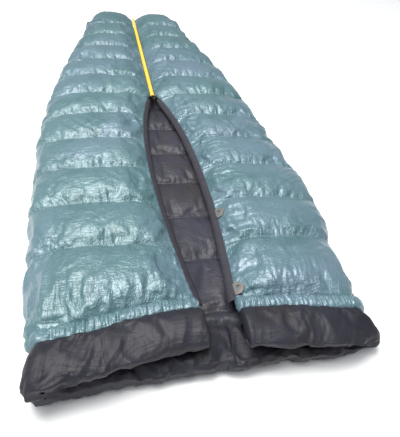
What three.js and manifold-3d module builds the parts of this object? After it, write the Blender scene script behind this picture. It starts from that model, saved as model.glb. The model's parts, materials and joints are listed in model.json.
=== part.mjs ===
// A down camp quilt, lying closed on the ground: a back panel, and two flaps that fold over it from its long sides
// and zip together over the legs. Millimetres. +X is to the right and +Y runs from the head to the foot, seen with
// the zip side up. The origin is at the middle of the underside.
import * as THREE from "three";
import { mergeVertices } from "three/addons/utils/BufferGeometryUtils.js";
import Module from "manifold-3d";

const wasm = await Module();
wasm.setup();

// ---------------------------------------------------------------- driving dimensions
const LENGTH = 2000; // head edge to foot edge
const FOLD_HEAD = 330; // middle to fold line, at the head
const FOLD_FOOT = 215; // middle to fold line, at the foot
const SIDE_MIN = 8; // how far the fold's soft edge stands out past the fold line, at the ends
const SIDE_BULGE = 74; // and how much further it stands out where it is fullest
const SIDE_SKEW = 0.87; // moves the fullest place towards the head
const SIDE_ROUND = 0.75;
const LOFT = 50; // thickness of one padded layer
const SLEEP_GAP = 12; // space for the sleeper between the layers, when empty
const CHANNELS = 12; // rows of down between the tunnel and the foot hem
const COLLAR_DEPTH = 95;
const COLLAR_LOFT = 44;
const TUNNEL_DEPTH = 28;
const TUNNEL_HEIGHT = 24;
const HEM_DEPTH = 22;
const HEM_HEIGHT = 18;
const FABRIC = 1; // a cloth layer with its seam allowance
const WALL = 1; // a baffle wall
const GAP = 0.3; // between pieces that touch
const EDGE_HEIGHT = 16; // height of a flap's free edge above the flap's underside
const EDGE_THICK = 3; // thickness of a flap where it is sewn to the binding
const CROWN_TOP = 80; // width over which a flap swells to its full loft, on its outside
const CROWN_UNDER = 50; // and on its lining side
const TOP_VALLEY = 0.42; // depth of a seam valley, as a share of the loft above the edge
const UNDER_VALLEY = 6; // depth of a seam valley on the undersides
const LINING_VALLEY = 14; // depth of a seam valley on the back panel's lining
const CHANNEL_SHOULDER = 0.25; // share of a channel over which it rises from the seam
const FOLD_SCALLOP = 9; // how far a seam pulls the fold's soft edge in
const FOLD_FACETS = 6; // flats round the fold's soft edge
const FOLD_CLEAR = 3; // floor to the underside of the soft edge
const FOLD_PULL = 0.12; // share of its height that the soft edge loses in a seam
const FOLD_HEAD_ROWS = [12, 60]; // head edge to the soft edge's first rows
const FOLD_FOOT_END = 6; // foot edge to its last row
const CROWN_COLUMNS = [0, 0.25, 0.6, 1]; // a flap's columns, as shares of the width over which it swells
const ROW_CLEAR = 5; // a panel's own row is left out if an extra row is closer than this
const BAFFLE_SHORT = 25; // baffles stop this far from the fold line
const BAFFLE_END = 20; // and the long wall that joins them this far from the ends of the panel
const FLAP_SPINE = 120; // middle to a flap's long wall
const COLLAR_MIN = 0.35; // thickness of the collar at its two edges, as a share of its loft
const COLLAR_ROWS = [0, 0.08, 0.3, 0.7, 0.92, 1]; // shares of its depth where its round section turns
const COLLAR_DOWN_INSET = 3; // tunnel to the collar's down
const CORD_SHORT = 2; // each end of a tunnel to its cord's end

const ZIP_TOP = 76; // Y of the zip's head end
const ZIP_TAPE_HALF = 8; // middle to the sewn edge of a tape
const ZIP_SPLIT = 1; // middle to a chain
const CHAIN_WIDTH = 3.2;
const CHAIN_HEIGHT = 2;
const SLIDER_LENGTH = 16;
const SLIDER_HALF = 6;
const SLIDER_PLATE = 1.3;
const SLIDER_PLAY = 0.4;
const SLIDER_NOSE = 3; // length over which its plates narrow at the head end
const SLIDER_NOSE_CUT = 2.5; // how much of each side they lose there
const SLIDER_TAIL_CUT = 1; // and at the foot end
const SLIDER_POST = [1, 5]; // its head end to the two ends of the post between the plates
const EAR_X = 2.4; // middle to each of the two ears that hold the pull
const EAR_THICK = 1.2;
const EAR_HEIGHT = 3.4;
const EAR_ENDS = [6, 1]; // middle of the slider to the ends of the ears
const PIVOT_Y = 3.5; // middle of the slider to the pull's pivot
const PIVOT_Z = 1.9; // top plate to the pivot
const PIVOT_R = 1;
const PIVOT_LENGTH = 3;
const PULL_LENGTH = 30;
const PULL_WIDTH = 8;
const PULL_THICK = 1.4;
const PULL_NECK = [9, 2.6, 1.2]; // length, width and thickness
const NECK_LAP = 0.2;
const PIN_LENGTH = 14;
const BOX_LENGTH = 10;
const BOX_MARGIN = 4; // box to foot edge
const BOX_RIM = 1; // how far the box stands out above and below the tape
const TAPE_THICK = 1;
const TAPE_INSET = 0.4; // chain to the tape's inner edge
const TACK_HALF = 1.5; // half the height of a tack

const SLIT_DRIFT = 25; // how far the opening leans to the right by the head edge
const SLIT_FLARE = 14; // straight part of its half-width, at the head edge
const SLIT_BOW = 58; // curved part, where it is widest
const BINDING_WIDTH = 18;
const BINDING_THICK = 4.4;
const BINDING_START = 22; // head side of the zip's end, where the bindings begin
const BINDING_LAP = 0.5; // how far a binding laps over the zip's edge where they meet
const COLLAR_SPLIT = 33; // middle of the opening to a collar's end
const TUNNEL_SPLIT = 36;

const CORD_R = 2.5; // drawcord in the tunnel
const ELASTIC_R = 1.8; // shock cord in the foot hem
const CORD_PLAY = 0.7;
const SNAP_R = 6.5;
const SNAP_HEIGHT = 2.2;
const SNAP_INSET = 11; // tunnel end to snap
const SNAP_FACETS = 16;
// Profiles as radius and height, from the middle of the base.
const CAP_PROFILE = [[0, 0], [1, 0], [1, 0.45], [0.7, 0.8], [0, 1]]; // shares of SNAP_R and SNAP_HEIGHT
const STUD_PROFILE = [[0, 0], [SNAP_R, 0], [SNAP_R, 1], [2.2, 1.2], [2.4, 3], [0, 3.4]];
const SOCKET_PROFILE = [[0, 0], [SNAP_R, 0], [SNAP_R, 3], [2.8, 3], [2.8, 1], [0, 1]];
const TAB_WIDTH = 30;
const TAB_REACH = 24;
const TAB_THICK = 1.6;
const TAB_SHOULDER = 0.62; // share of its reach where a tab begins to narrow to its point
const TAB_LEAN = 0.05; // radians that a tab leans away from the slope it lies on
// An L-shaped slot, from the sewn edge.
const TAB_SLOT = [[6, 7], [14, 7], [14, 4], [9, 4], [9, -5], [6, -5]];
const TAB_LIFT = 3; // height of the sewn loop under a tab
const TAB_PLACES = { pad_tab_head: -858, pad_tab_middle: -613 };

// ---------------------------------------------------------------- places worked out from them
const HEAD = -LENGTH / 2;
const FOOT = LENGTH / 2;
const FLAP_FLOOR = LOFT + SLEEP_GAP; // underside of a closed flap
const TOP = FLAP_FLOOR + LOFT;
const FOLD_Z = LOFT + SLEEP_GAP / 2; // the fold line, halfway up
const EDGE_Z = FLAP_FLOOR + EDGE_HEIGHT; // middle of the zip and of the bindings
const TUNNEL_HEAD = HEAD + COLLAR_DEPTH;
const BODY_HEAD = TUNNEL_HEAD + TUNNEL_DEPTH;
const BODY_FOOT = FOOT - HEM_DEPTH;
const PITCH = (BODY_FOOT - BODY_HEAD) / CHANNELS;
const SLIDER_REST = ZIP_TOP - SLIDER_LENGTH / 2;
const BOX_HEAD = FOOT - BOX_LENGTH - BOX_MARGIN;
const LEFT_CHAIN_END = BOX_HEAD - SLIDER_LENGTH - 3 * GAP;
const BINDING_FROM = ZIP_TOP - BINDING_START;
const LEFT = -1;
const RIGHT = 1;

const COLOURS = {
  teal_shell: [0x73969f, 0.38, 0],
  charcoal_lining: [0x4a4a55, 0.55, 0],
  charcoal_binding: [0x3b3b45, 0.7, 0],
  white_down: [0xe8e4da, 0.95, 0],
  baffle_mesh: [0xb9bcc0, 0.9, 0],
  yellow_tape: [0xe3c23c, 0.8, 0],
  yellow_chain: [0xf0d24a, 0.35, 0],
  black_metal: [0x2a2a2e, 0.35, 0.8],
  grey_plastic: [0xb9b4a8, 0.55, 0],
  grey_snap: [0x8c9093, 0.35, 0.6],
  black_cord: [0x222226, 0.85, 0],
};

const foldX = (y) =>
  FOLD_HEAD + ((FOLD_FOOT - FOLD_HEAD) * (y - HEAD)) / LENGTH;

// 0 at the zip's head end, 1 at the head edge.
const slitT = (y) => THREE.MathUtils.clamp((ZIP_TOP - y) / (ZIP_TOP - HEAD), 0, 1);
const slitMiddle = (y) => SLIT_DRIFT * slitT(y);
const slitHalf = (y) => {
  const t = slitT(y);
  return ZIP_TAPE_HALF + SLIT_FLARE * t + SLIT_BOW * Math.sin(Math.PI * t ** 0.8) ** 0.85;
};
// X of a flap's padded edge, and of the bare opening inside its binding.
const flapEdge = (side, y) => slitMiddle(y) + side * (slitHalf(y) + GAP);
const slitEdge = (side, y) =>
  slitMiddle(y) + side * Math.max(slitHalf(y) - BINDING_WIDTH, ZIP_TAPE_HALF - BINDING_LAP);

// 0 on a seam, 1 along the middle of a channel.
const channel = (y) => {
  const f = (y - BODY_HEAD) / PITCH;
  const from = f - Math.floor(f + 1e-9);
  return Math.max(0, Math.min(1, from / CHANNEL_SHOULDER, (1 - from) / CHANNEL_SHOULDER));
};
// How far a flap has swelled at a distance s from its free edge: 0 to 1, in straight steps between its columns.
const crown = (s, width) => {
  const round = (d) => 1 - (1 - Math.min(d / width, 1)) ** 2;
  const at = CROWN_COLUMNS.map((share) => share * CROWN_TOP);
  if (s >= at.at(-1)) return round(at.at(-1));
  const i = Math.max(0, at.findLastIndex((d) => d <= s));
  return THREE.MathUtils.mapLinear(Math.max(s, 0), at[i], at[i + 1], round(at[i]), round(at[i + 1]));
};

const flapInset = (side, x, y) => side * (x - flapEdge(side, y));
const flapTop = (side) => (x, y) =>
  EDGE_Z + EDGE_THICK / 2 +
  (TOP - EDGE_Z - EDGE_THICK / 2) *
    crown(flapInset(side, x, y), CROWN_TOP) * (1 - TOP_VALLEY * (1 - channel(y)));
const flapUnder = (side) => (x, y) => {
  const drop = EDGE_HEIGHT - EDGE_THICK / 2 - UNDER_VALLEY * (1 - channel(y));
  return EDGE_Z - EDGE_THICK / 2 - drop * crown(flapInset(side, x, y), CROWN_UNDER);
};
const backTop = (x, y) => LOFT - LINING_VALLEY * (1 - channel(y));
const backUnder = (x, y) => UNDER_VALLEY * (1 - channel(y));

// ---------------------------------------------------------------- tools for closed solids
const solidOf = (geometry) => {
  const bare = geometry.index ? geometry.toNonIndexed() : geometry.clone();
  for (const name of Object.keys(bare.attributes)) if (name !== "position") bare.deleteAttribute(name);
  const merged = mergeVertices(bare, 1e-3);
  return new wasm.Manifold(
    new wasm.Mesh({
      numProp: 3,
      vertProperties: new Float32Array(merged.attributes.position.array),
      triVerts: new Uint32Array(merged.index.array),
    }),
  );
};

const geometryOf = (solid) => {
  const mesh = solid.getMesh();
  const geometry = new THREE.BufferGeometry();
  const points = new Float32Array(mesh.numVert * 3);
  for (let v = 0; v < mesh.numVert; v++)
    for (let k = 0; k < 3; k++) points[3 * v + k] = mesh.vertProperties[v * mesh.numProp + k];
  geometry.setAttribute("position", new THREE.BufferAttribute(points, 3));
  geometry.setIndex([...mesh.triVerts]);
  return geometry;
};

// A closed slab between the heights low and high, over rows at the given Ys. across(y) lists a row's Xs, rising.
const slab = (rows, across, low, high) => {
  const points = [];
  const count = across(rows[0]).length;
  for (const y of rows)
    for (const x of across(y)) points.push(x, y, low(x, y), x, y, high(x, y));
  const at = (i, j, top) => 2 * (i * count + j) + top;
  const faces = [];
  const quad = (a, b, c, d) => faces.push(a, b, c, a, c, d);
  for (let i = 0; i + 1 < rows.length; i++) {
    for (let j = 0; j + 1 < count; j++) {
      quad(at(i, j, 1), at(i, j + 1, 1), at(i + 1, j + 1, 1), at(i + 1, j, 1));
      quad(at(i, j, 0), at(i + 1, j, 0), at(i + 1, j + 1, 0), at(i, j + 1, 0));
    }
    quad(at(i, 0, 0), at(i, 0, 1), at(i + 1, 0, 1), at(i + 1, 0, 0));
    quad(at(i, count - 1, 0), at(i + 1, count - 1, 0), at(i + 1, count - 1, 1), at(i, count - 1, 1));
  }
  const end = rows.length - 1;
  for (let j = 0; j + 1 < count; j++) {
    quad(at(0, j, 0), at(0, j + 1, 0), at(0, j + 1, 1), at(0, j, 1));
    quad(at(end, j, 0), at(end, j, 1), at(end, j + 1, 1), at(end, j + 1, 0));
  }
  const geometry = new THREE.BufferGeometry();
  geometry.setAttribute("position", new THREE.Float32BufferAttribute(points, 3));
  geometry.setIndex(faces);
  return geometry;
};

const block = (x0, x1, y0, y1, z0, z1) =>
  new THREE.BoxGeometry(x1 - x0, y1 - y0, z1 - z0).translate((x0 + x1) / 2, (y0 + y1) / 2, (z0 + z1) / 2);

const outlineOf = (corners) => new THREE.Shape(corners.map(([a, b]) => new THREE.Vector2(a, b)));

// A profile of radii and heights, turned about the Z axis.
const turned = (profile) =>
  new THREE.LatheGeometry(profile.map(([r, h]) => new THREE.Vector2(r, h)), SNAP_FACETS).rotateX(Math.PI / 2);

const union = (geometries) => geometries.map(solidOf).reduce((all, one) => all.add(one));

const quilt = new THREE.Group();
quilt.name = "camp_quilt";

const add = (name, finish, geometry) => {
  const [color, roughness, metalness] = COLOURS[finish];
  const material = new THREE.MeshStandardMaterial({ name: finish, color, roughness, metalness });
  const shape = geometry.isBufferGeometry ? geometry : geometryOf(geometry);
  const mesh = new THREE.Mesh(shape, material);
  mesh.name = name;
  quilt.add(mesh);
  return mesh;
};

// ---------------------------------------------------------------- padded panels
// Rows of a panel: its seams and the shoulders of its channels, with some extra places on an edge that curves.
const panelRows = (extra = []) => {
  const rows = [];
  for (let c = 0; c < CHANNELS; c++)
    for (const f of [0, CHANNEL_SHOULDER, 1 - CHANNEL_SHOULDER]) {
      const inset = c + f === 0 ? GAP : 0;
      rows.push(BODY_HEAD + inset + (c + f) * PITCH);
    }
  rows.push(BODY_FOOT - GAP);
  const apart = rows.filter((y) => !extra.some((e) => Math.abs(e - y) < ROW_CLEAR));
  return [...apart, ...extra].sort((a, b) => a - b);
};

// The walls inside a panel: one under each seam, joined by one long wall that stops short of both ends.
const baffleComb = (spineX, spans, grow) => {
  const half = WALL / 2 + grow;
  const room = [-LOFT, TOP + LOFT];
  const ends = [BODY_HEAD + BAFFLE_END - grow, BODY_FOOT - BAFFLE_END + grow];
  const walls = [block(spineX - half, spineX + half, ...ends, ...room)];
  for (let c = 1; c < CHANNELS; c++) {
    const y = BODY_HEAD + c * PITCH;
    const [x0, x1] = spans(y);
    walls.push(block(x0 - grow, x1 + grow, y - half, y + half, ...room));
  }
  return union(walls);
};

// Shell, lining, down and baffles of one panel.
const panel = (name, rows, across, under, top, outside, spineX, spans) => {
  const shellUp = outside === "top";
  const upper = slab(rows, across, (x, y) => top(x, y) - FABRIC, top);
  const lower = slab(rows, across, under, (x, y) => under(x, y) + FABRIC);
  const layers = shellUp ? [upper, lower] : [lower, upper];
  add(`${name}_shell`, "teal_shell", layers[0]);
  add(`${name}_lining`, "charcoal_lining", layers[1]);
  const inside = solidOf(
    slab(rows, across, (x, y) => under(x, y) + FABRIC + GAP, (x, y) => top(x, y) - FABRIC - GAP),
  );
  add(`${name}_down`, "white_down", inside.subtract(baffleComb(spineX, spans, GAP)));
  add(`${name}_baffles`, "baffle_mesh", inside.intersect(baffleComb(spineX, spans, 0)));
};

const backPanel = () => {
  const across = (y) => [-foldX(y) + GAP, foldX(y) - GAP];
  const spans = (y) => [-foldX(y) + BAFFLE_SHORT, foldX(y) - BAFFLE_SHORT];
  panel("back", panelRows(), across, backUnder, backTop, "under", 0, spans);
};

// The free edge bends at the zip's end, where the binding begins, and again a little further on.
const flapRows = panelRows([ZIP_TOP, BINDING_FROM, ZIP_TOP - 3 * BINDING_START]);
const flapPanel = (name, side) => {
  const across = (y) => {
    const xs = CROWN_COLUMNS.map((share) => flapEdge(side, y) + side * share * CROWN_TOP);
    xs.push(side * (foldX(y) - GAP));
    return side > 0 ? xs : xs.reverse();
  };
  const spans = (y) => [FLAP_SPINE, foldX(y) - BAFFLE_SHORT].map((x) => side * x).sort((a, b) => a - b);
  panel(name, flapRows, across, flapUnder(side), flapTop(side), "top", side * FLAP_SPINE, spans);
};

// ---------------------------------------------------------------- side folds
// The soft edge where a flap turns over the back: shell and down in one, from the underside round to the top.
const sideFold = (name, side) => {
  const facets = FOLD_FACETS;
  const inner = panelRows().slice(1);
  const rows = [...FOLD_HEAD_ROWS.map((inset) => HEAD + inset), ...inner, FOOT - FOLD_FOOT_END];
  const outwards = (y) => {
    const t = ((y - HEAD) / LENGTH) ** SIDE_SKEW;
    const bulge = SIDE_BULGE - FOLD_SCALLOP * (1 - channel(y));
    return SIDE_MIN + bulge * Math.sin(Math.PI * t) ** SIDE_ROUND;
  };
  const points = [];
  for (const y of rows)
    for (let k = 0; k <= facets; k++) {
      const turn = Math.PI * (k / facets - 0.5);
      const pull = 1 - FOLD_PULL * (1 - channel(y));
      points.push(
        side * (foldX(y) + GAP + outwards(y) * Math.cos(turn)), y,
        FOLD_Z + (FOLD_Z - FOLD_CLEAR) * pull * Math.sin(turn),
      );
    }
  const faces = [];
  const at = (i, k) => i * (facets + 1) + k;
  for (let i = 0; i + 1 < rows.length; i++)
    for (let k = 0; k <= facets; k++) {
      const next = (k + 1) % (facets + 1);
      faces.push(at(i, k), at(i + 1, k), at(i + 1, next), at(i, k), at(i + 1, next), at(i, next));
    }
  for (let k = 1; k < facets; k++) {
    faces.push(at(0, 0), at(0, k), at(0, k + 1));
    faces.push(at(rows.length - 1, 0), at(rows.length - 1, k + 1), at(rows.length - 1, k));
  }
  if (side < 0) faces.reverse();
  const geometry = new THREE.BufferGeometry();
  geometry.setAttribute("position", new THREE.Float32BufferAttribute(points, 3));
  geometry.setIndex(faces);
  add(name, "teal_shell", geometry);
};

// ---------------------------------------------------------------- collar, tunnel and foot hem
// A padded tube across the head edge: its cloth, open where it is sewn to the tunnel, and the down inside.
const collar = (name, x0, x1, floor) => {
  const round = (t) => COLLAR_MIN + (1 - COLLAR_MIN) * Math.sqrt(Math.max(0, Math.sin(Math.PI * t)));
  const puff = (y) => {
    const t = THREE.MathUtils.clamp((y - HEAD) / COLLAR_DEPTH, 0, 1);
    const i = Math.min(COLLAR_ROWS.length - 2, COLLAR_ROWS.findLastIndex((f) => f <= t));
    const share = (t - COLLAR_ROWS[i]) / (COLLAR_ROWS[i + 1] - COLLAR_ROWS[i]);
    return THREE.MathUtils.lerp(round(COLLAR_ROWS[i]), round(COLLAR_ROWS[i + 1]), share);
  };
  const middle = floor + COLLAR_LOFT / 2;
  const low = (inset) => (x, y) => middle - (COLLAR_LOFT / 2) * puff(y) + inset;
  const high = (inset) => (x, y) => middle + (COLLAR_LOFT / 2) * puff(y) - inset;
  const rows = (head, foot) =>
    COLLAR_ROWS.map((f) => {
      if (f === 1) return TUNNEL_HEAD - foot;
      return HEAD + Math.max(head, f * COLLAR_DEPTH);
    });
  const across = (inset) => (y) => [x0(y) + inset, x1(y) - inset];
  const outer = solidOf(slab(rows(0, GAP), across(0), low(0), high(0)));
  const hollow = solidOf(slab(rows(FABRIC * 2, -1), across(FABRIC), low(FABRIC), high(FABRIC)));
  add(`${name}_collar_cover`, "charcoal_lining", outer.subtract(hollow));
  const inset = FABRIC + GAP;
  const down = slab(rows(FABRIC * 2 + GAP, COLLAR_DOWN_INSET), across(inset), low(inset), high(inset));
  add(`${name}_collar_down`, "white_down", down);
};

// A sewn tube along X that a cord runs in, and the cord.
const tunnel = (name, cordName, finish, x0, x1, y0, y1, z, height, cordRadius) => {
  const hole = cordRadius + CORD_PLAY;
  const half = (y1 - y0) / 2;
  const corner = height / 3;
  const section = outlineOf([
    [-half, -height / 2 + corner], [-half + corner, -height / 2], [half - corner, -height / 2],
    [half, -height / 2 + corner], [half, height / 2 - corner], [half - corner, height / 2],
    [-half + corner, height / 2], [-half, height / 2 - corner],
  ]);
  const bore = new THREE.Path();
  bore.absarc(0, 0, hole, 0, 2 * Math.PI, true);
  section.holes.push(bore);
  const alongX = (geometry) =>
    geometry.applyMatrix4(new THREE.Matrix4().makeBasis(
      new THREE.Vector3(0, 1, 0), new THREE.Vector3(0, 0, 1), new THREE.Vector3(1, 0, 0),
    )).translate(x0, (y0 + y1) / 2, z);
  const tube = new THREE.ExtrudeGeometry(section, { depth: x1 - x0, bevelEnabled: false, curveSegments: 4 });
  add(name, finish, alongX(tube));
  const line = new THREE.CylinderGeometry(cordRadius, cordRadius, x1 - x0 - 2 * CORD_SHORT, 8)
    .rotateX(Math.PI / 2).translate(0, 0, (x1 - x0) / 2);
  add(cordName, "black_cord", alongX(line));
};

const collarAndTunnel = (name, ends, floor, middle) => {
  const [x0, x1] = ends(COLLAR_SPLIT);
  collar(name, x0, x1, floor);
  const [t0, t1] = ends(TUNNEL_SPLIT).map((end, i) => end(i ? BODY_HEAD : TUNNEL_HEAD));
  const inside = Math.min(foldX(TUNNEL_HEAD), foldX(BODY_HEAD)) - GAP;
  const clampX = (x) => THREE.MathUtils.clamp(x, -inside, inside);
  tunnel(`${name}_drawcord_tunnel`, `${name}_drawcord`, "teal_shell", clampX(t0), clampX(t1),
    TUNNEL_HEAD + GAP, BODY_HEAD - GAP, middle, TUNNEL_HEIGHT, CORD_R);
};

const footHem = (name, x0, x1, middle) =>
  tunnel(`${name}_foot_hem`, `${name}_foot_elastic`, "charcoal_binding", x0, x1,
    BODY_FOOT + GAP, FOOT, middle, HEM_HEIGHT, ELASTIC_R);

const backEnds = () => {
  const ends = () => [(y) => -foldX(y) + GAP, (y) => foldX(y) - GAP];
  collarAndTunnel("back", ends, 0, LOFT / 2);
  footHem("back", -foldX(FOOT) + GAP, foldX(FOOT) - GAP, LOFT / 2);
};

const flapEnds = (name, side) => {
  const ends = (split) => {
    const inner = (y) => slitMiddle(TUNNEL_HEAD) + side * split;
    const outer = (y) => side * (foldX(y) - GAP);
    return side > 0 ? [inner, outer] : [outer, inner];
  };
  collarAndTunnel(name, ends, FLAP_FLOOR, EDGE_Z);
  const hemInner = side * (ZIP_TAPE_HALF + 3 * GAP);
  const hemOuter = side * (foldX(FOOT) - GAP);
  footHem(name, Math.min(hemInner, hemOuter), Math.max(hemInner, hemOuter), EDGE_Z);
};

// ---------------------------------------------------------------- bindings, snaps and tabs
const binding = (name, side) => {
  const rows = flapRows.filter((y) => y <= BINDING_FROM);
  const across = (y) =>
    [slitEdge(side, y), flapEdge(side, y) - side * GAP].sort((a, b) => a - b);
  add(`${name}_edge_binding`, "charcoal_binding",
    slab(rows, across, () => EDGE_Z - BINDING_THICK / 2, () => EDGE_Z + BINDING_THICK / 2));
};

// A press fastener through the end of a tunnel: its cap above and its socket or stud below.
const snap = (name, side, part) => {
  const x = slitMiddle(TUNNEL_HEAD) + side * (TUNNEL_SPLIT + SNAP_INSET);
  const y = (TUNNEL_HEAD + BODY_HEAD) / 2;
  const above = EDGE_Z + TUNNEL_HEIGHT / 2 + GAP;
  const below = EDGE_Z - TUNNEL_HEIGHT / 2 - GAP;
  const cap = turned(CAP_PROFILE.map(([r, h]) => [r * SNAP_R, h * SNAP_HEIGHT]));
  add(`${name}_snap_cap`, "grey_snap", cap.translate(x, y, above));
  const under = turned(part === "stud" ? STUD_PROFILE : SOCKET_PROFILE).rotateX(Math.PI);
  add(`${name}_snap_${part}`, "grey_snap", under.translate(x, y, below));
};

// A five-sided pull tab that is sewn to the right flap along its straight edge, and lies up the flap's slope.
const padTab = (name, y) => {
  const x = flapEdge(RIGHT, y);
  const rise = flapTop(RIGHT)(x + TAB_REACH, y) - flapTop(RIGHT)(x, y);
  const slope = Math.atan2(rise, TAB_REACH) + TAB_LEAN;
  const half = TAB_WIDTH / 2;
  const shoulder = TAB_REACH * TAB_SHOULDER;
  const outline = outlineOf([[0, -half], [shoulder, -half], [TAB_REACH, 0], [shoulder, half], [0, half]]);
  outline.holes.push(outlineOf(TAB_SLOT));
  const plate = new THREE.ExtrudeGeometry(outline, { depth: TAB_THICK, bevelEnabled: false });
  const mesh = add(name, "grey_plastic", plate.rotateY(-slope));
  mesh.position.set(x, y, flapTop(RIGHT)(x, y) + TAB_LIFT);
};

// ---------------------------------------------------------------- zip
const tapeUnder = EDGE_Z - TAPE_THICK / 2;
const tapeTop = EDGE_Z + TAPE_THICK / 2;
const chainTop = tapeTop + CHAIN_HEIGHT;

const zipSide = (name, side, end) => {
  const xs = (a, b) => [side * a, side * b].sort((p, q) => p - q);
  const from = side > 0 ? ZIP_TOP - SLIDER_LENGTH - 2 : ZIP_TOP + 1;
  add(`${name}_zip_tape`, "yellow_tape",
    block(...xs(ZIP_SPLIT + TAPE_INSET, ZIP_TAPE_HALF), from, end, tapeUnder, tapeTop - GAP));
  const chainEnd = side > 0 ? LEFT_CHAIN_END : LEFT_CHAIN_END - PIN_LENGTH - GAP;
  add(`${name}_zip_chain`, "yellow_chain",
    block(...xs(ZIP_SPLIT, ZIP_SPLIT + CHAIN_WIDTH), ZIP_TOP + 1, chainEnd, tapeTop, chainTop));
  const tackEnd = ZIP_TOP - SLIDER_LENGTH - 3;
  add(`${name}_zip_top_tack`, "black_cord",
    block(...xs(SLIDER_HALF + 1, ZIP_TAPE_HALF - GAP), BINDING_FROM + GAP, tackEnd,
      EDGE_Z - TACK_HALF, EDGE_Z + TACK_HALF));
};

const zip = () => {
  zipSide("left", LEFT, LEFT_CHAIN_END);
  zipSide("right", RIGHT, BOX_HEAD - GAP);
  const pinEnds = [LEFT_CHAIN_END - PIN_LENGTH, LEFT_CHAIN_END];
  add("zip_pin", "yellow_chain", block(-ZIP_SPLIT - CHAIN_WIDTH, -ZIP_SPLIT, ...pinEnds, tapeTop, chainTop));
  const boxEnds = [BOX_HEAD, BOX_HEAD + BOX_LENGTH];
  add("zip_box", "yellow_chain",
    block(-SLIDER_HALF + 1, ZIP_TAPE_HALF, ...boxEnds, tapeUnder - BOX_RIM, chainTop + BOX_RIM));
};

const slider = () => {
  const half = SLIDER_LENGTH / 2;
  const topPlate = [chainTop + SLIDER_PLAY, chainTop + SLIDER_PLAY + SLIDER_PLATE];
  const underPlate = [tapeUnder - SLIDER_PLAY - SLIDER_PLATE, tapeUnder - SLIDER_PLAY];
  const nose = SLIDER_HALF - SLIDER_NOSE_CUT;
  const tail = SLIDER_HALF - SLIDER_TAIL_CUT;
  const outline = outlineOf([
    [-SLIDER_HALF, -half + SLIDER_NOSE], [-nose, -half], [nose, -half], [SLIDER_HALF, -half + SLIDER_NOSE],
    [tail, half], [-tail, half],
  ]);
  const plate = ([z0, z1]) =>
    new THREE.ExtrudeGeometry(outline, { depth: z1 - z0, bevelEnabled: false }).translate(0, SLIDER_REST, z0);
  const [postHead, postFoot] = SLIDER_POST.map((inset) => SLIDER_REST - half + inset);
  const postHalf = ZIP_SPLIT - SLIDER_PLAY;
  const post = block(-postHalf, postHalf, postHead, postFoot, underPlate[0], topPlate[1]);
  const [earHead, earFoot] = EAR_ENDS.map((inset) => SLIDER_REST - inset);
  const ear = (x) => block(x - EAR_THICK / 2, x + EAR_THICK / 2, earHead, earFoot,
    topPlate[1] - NECK_LAP, topPlate[1] + EAR_HEIGHT);
  add("zip_slider", "black_metal", union([plate(topPlate), plate(underPlate), post, ear(-EAR_X), ear(EAR_X)]));
  const pivotY = SLIDER_REST - PIVOT_Y;
  const pivotZ = topPlate[1] + PIVOT_Z;
  const barrel = new THREE.CylinderGeometry(PIVOT_R, PIVOT_R, PIVOT_LENGTH, 10).rotateZ(Math.PI / 2)
    .translate(0, pivotY, pivotZ);
  const bar = (width, from, to, thick) =>
    block(-width / 2, width / 2, pivotY - to, pivotY - from, pivotZ - thick / 2, pivotZ + thick / 2);
  const [neckLength, neckWidth, neckThick] = PULL_NECK;
  const neck = bar(neckWidth, 0, neckLength, neckThick);
  const leaf = bar(PULL_WIDTH, neckLength - NECK_LAP, PULL_LENGTH, PULL_THICK);
  add("zip_pull", "black_metal", union([barrel, neck, leaf]));
};

// ---------------------------------------------------------------- the quilt
backPanel();
backEnds();
for (const [name, side] of [["left", LEFT], ["right", RIGHT]]) {
  flapPanel(name, side);
  flapEnds(name, side);
  binding(name, side);
  sideFold(`${name}_side_fold`, side);
}
snap("left", LEFT, "socket");
snap("right", RIGHT, "stud");
for (const [name, y] of Object.entries(TAB_PLACES)) padTab(name, y);
zip();
slider();

export default quilt;
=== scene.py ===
"""The look of a down camp quilt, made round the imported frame: its quilted skins, linings, collars, zip and trim.

Everything is in metres, in the frame's own axes: +X to the right, +Y from the head to the foot, +Z up.
"""

from __future__ import annotations

import json
import logging
import math
from dataclasses import dataclass, field
from enum import Enum
from typing import Any, Callable, Sequence

import bpy
import numpy as np
from mathutils import Matrix, Vector, noise

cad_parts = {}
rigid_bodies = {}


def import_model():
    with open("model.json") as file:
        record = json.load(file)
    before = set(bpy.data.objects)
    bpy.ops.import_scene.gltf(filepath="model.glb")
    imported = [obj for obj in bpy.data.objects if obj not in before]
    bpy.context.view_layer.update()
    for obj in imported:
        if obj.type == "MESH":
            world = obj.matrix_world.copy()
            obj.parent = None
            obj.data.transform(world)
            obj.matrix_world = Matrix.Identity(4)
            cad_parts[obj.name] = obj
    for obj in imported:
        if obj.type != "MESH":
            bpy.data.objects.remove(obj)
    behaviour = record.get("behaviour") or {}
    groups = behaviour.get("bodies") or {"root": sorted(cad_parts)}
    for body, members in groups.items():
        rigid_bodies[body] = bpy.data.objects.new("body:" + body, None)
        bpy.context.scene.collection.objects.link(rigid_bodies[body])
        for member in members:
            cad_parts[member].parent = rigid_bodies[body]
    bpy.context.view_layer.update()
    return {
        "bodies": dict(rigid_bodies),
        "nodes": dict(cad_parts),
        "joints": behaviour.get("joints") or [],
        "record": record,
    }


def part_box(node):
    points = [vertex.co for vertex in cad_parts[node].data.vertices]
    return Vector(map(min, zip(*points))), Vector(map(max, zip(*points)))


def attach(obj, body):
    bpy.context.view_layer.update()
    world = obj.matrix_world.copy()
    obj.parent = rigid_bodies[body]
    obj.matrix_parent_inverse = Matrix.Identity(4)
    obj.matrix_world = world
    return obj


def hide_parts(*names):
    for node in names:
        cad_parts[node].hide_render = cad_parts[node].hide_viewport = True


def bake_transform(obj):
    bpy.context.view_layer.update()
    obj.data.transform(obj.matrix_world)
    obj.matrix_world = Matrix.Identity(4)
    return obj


LOG = logging.getLogger("camp_quilt")
MM = 0.001
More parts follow.
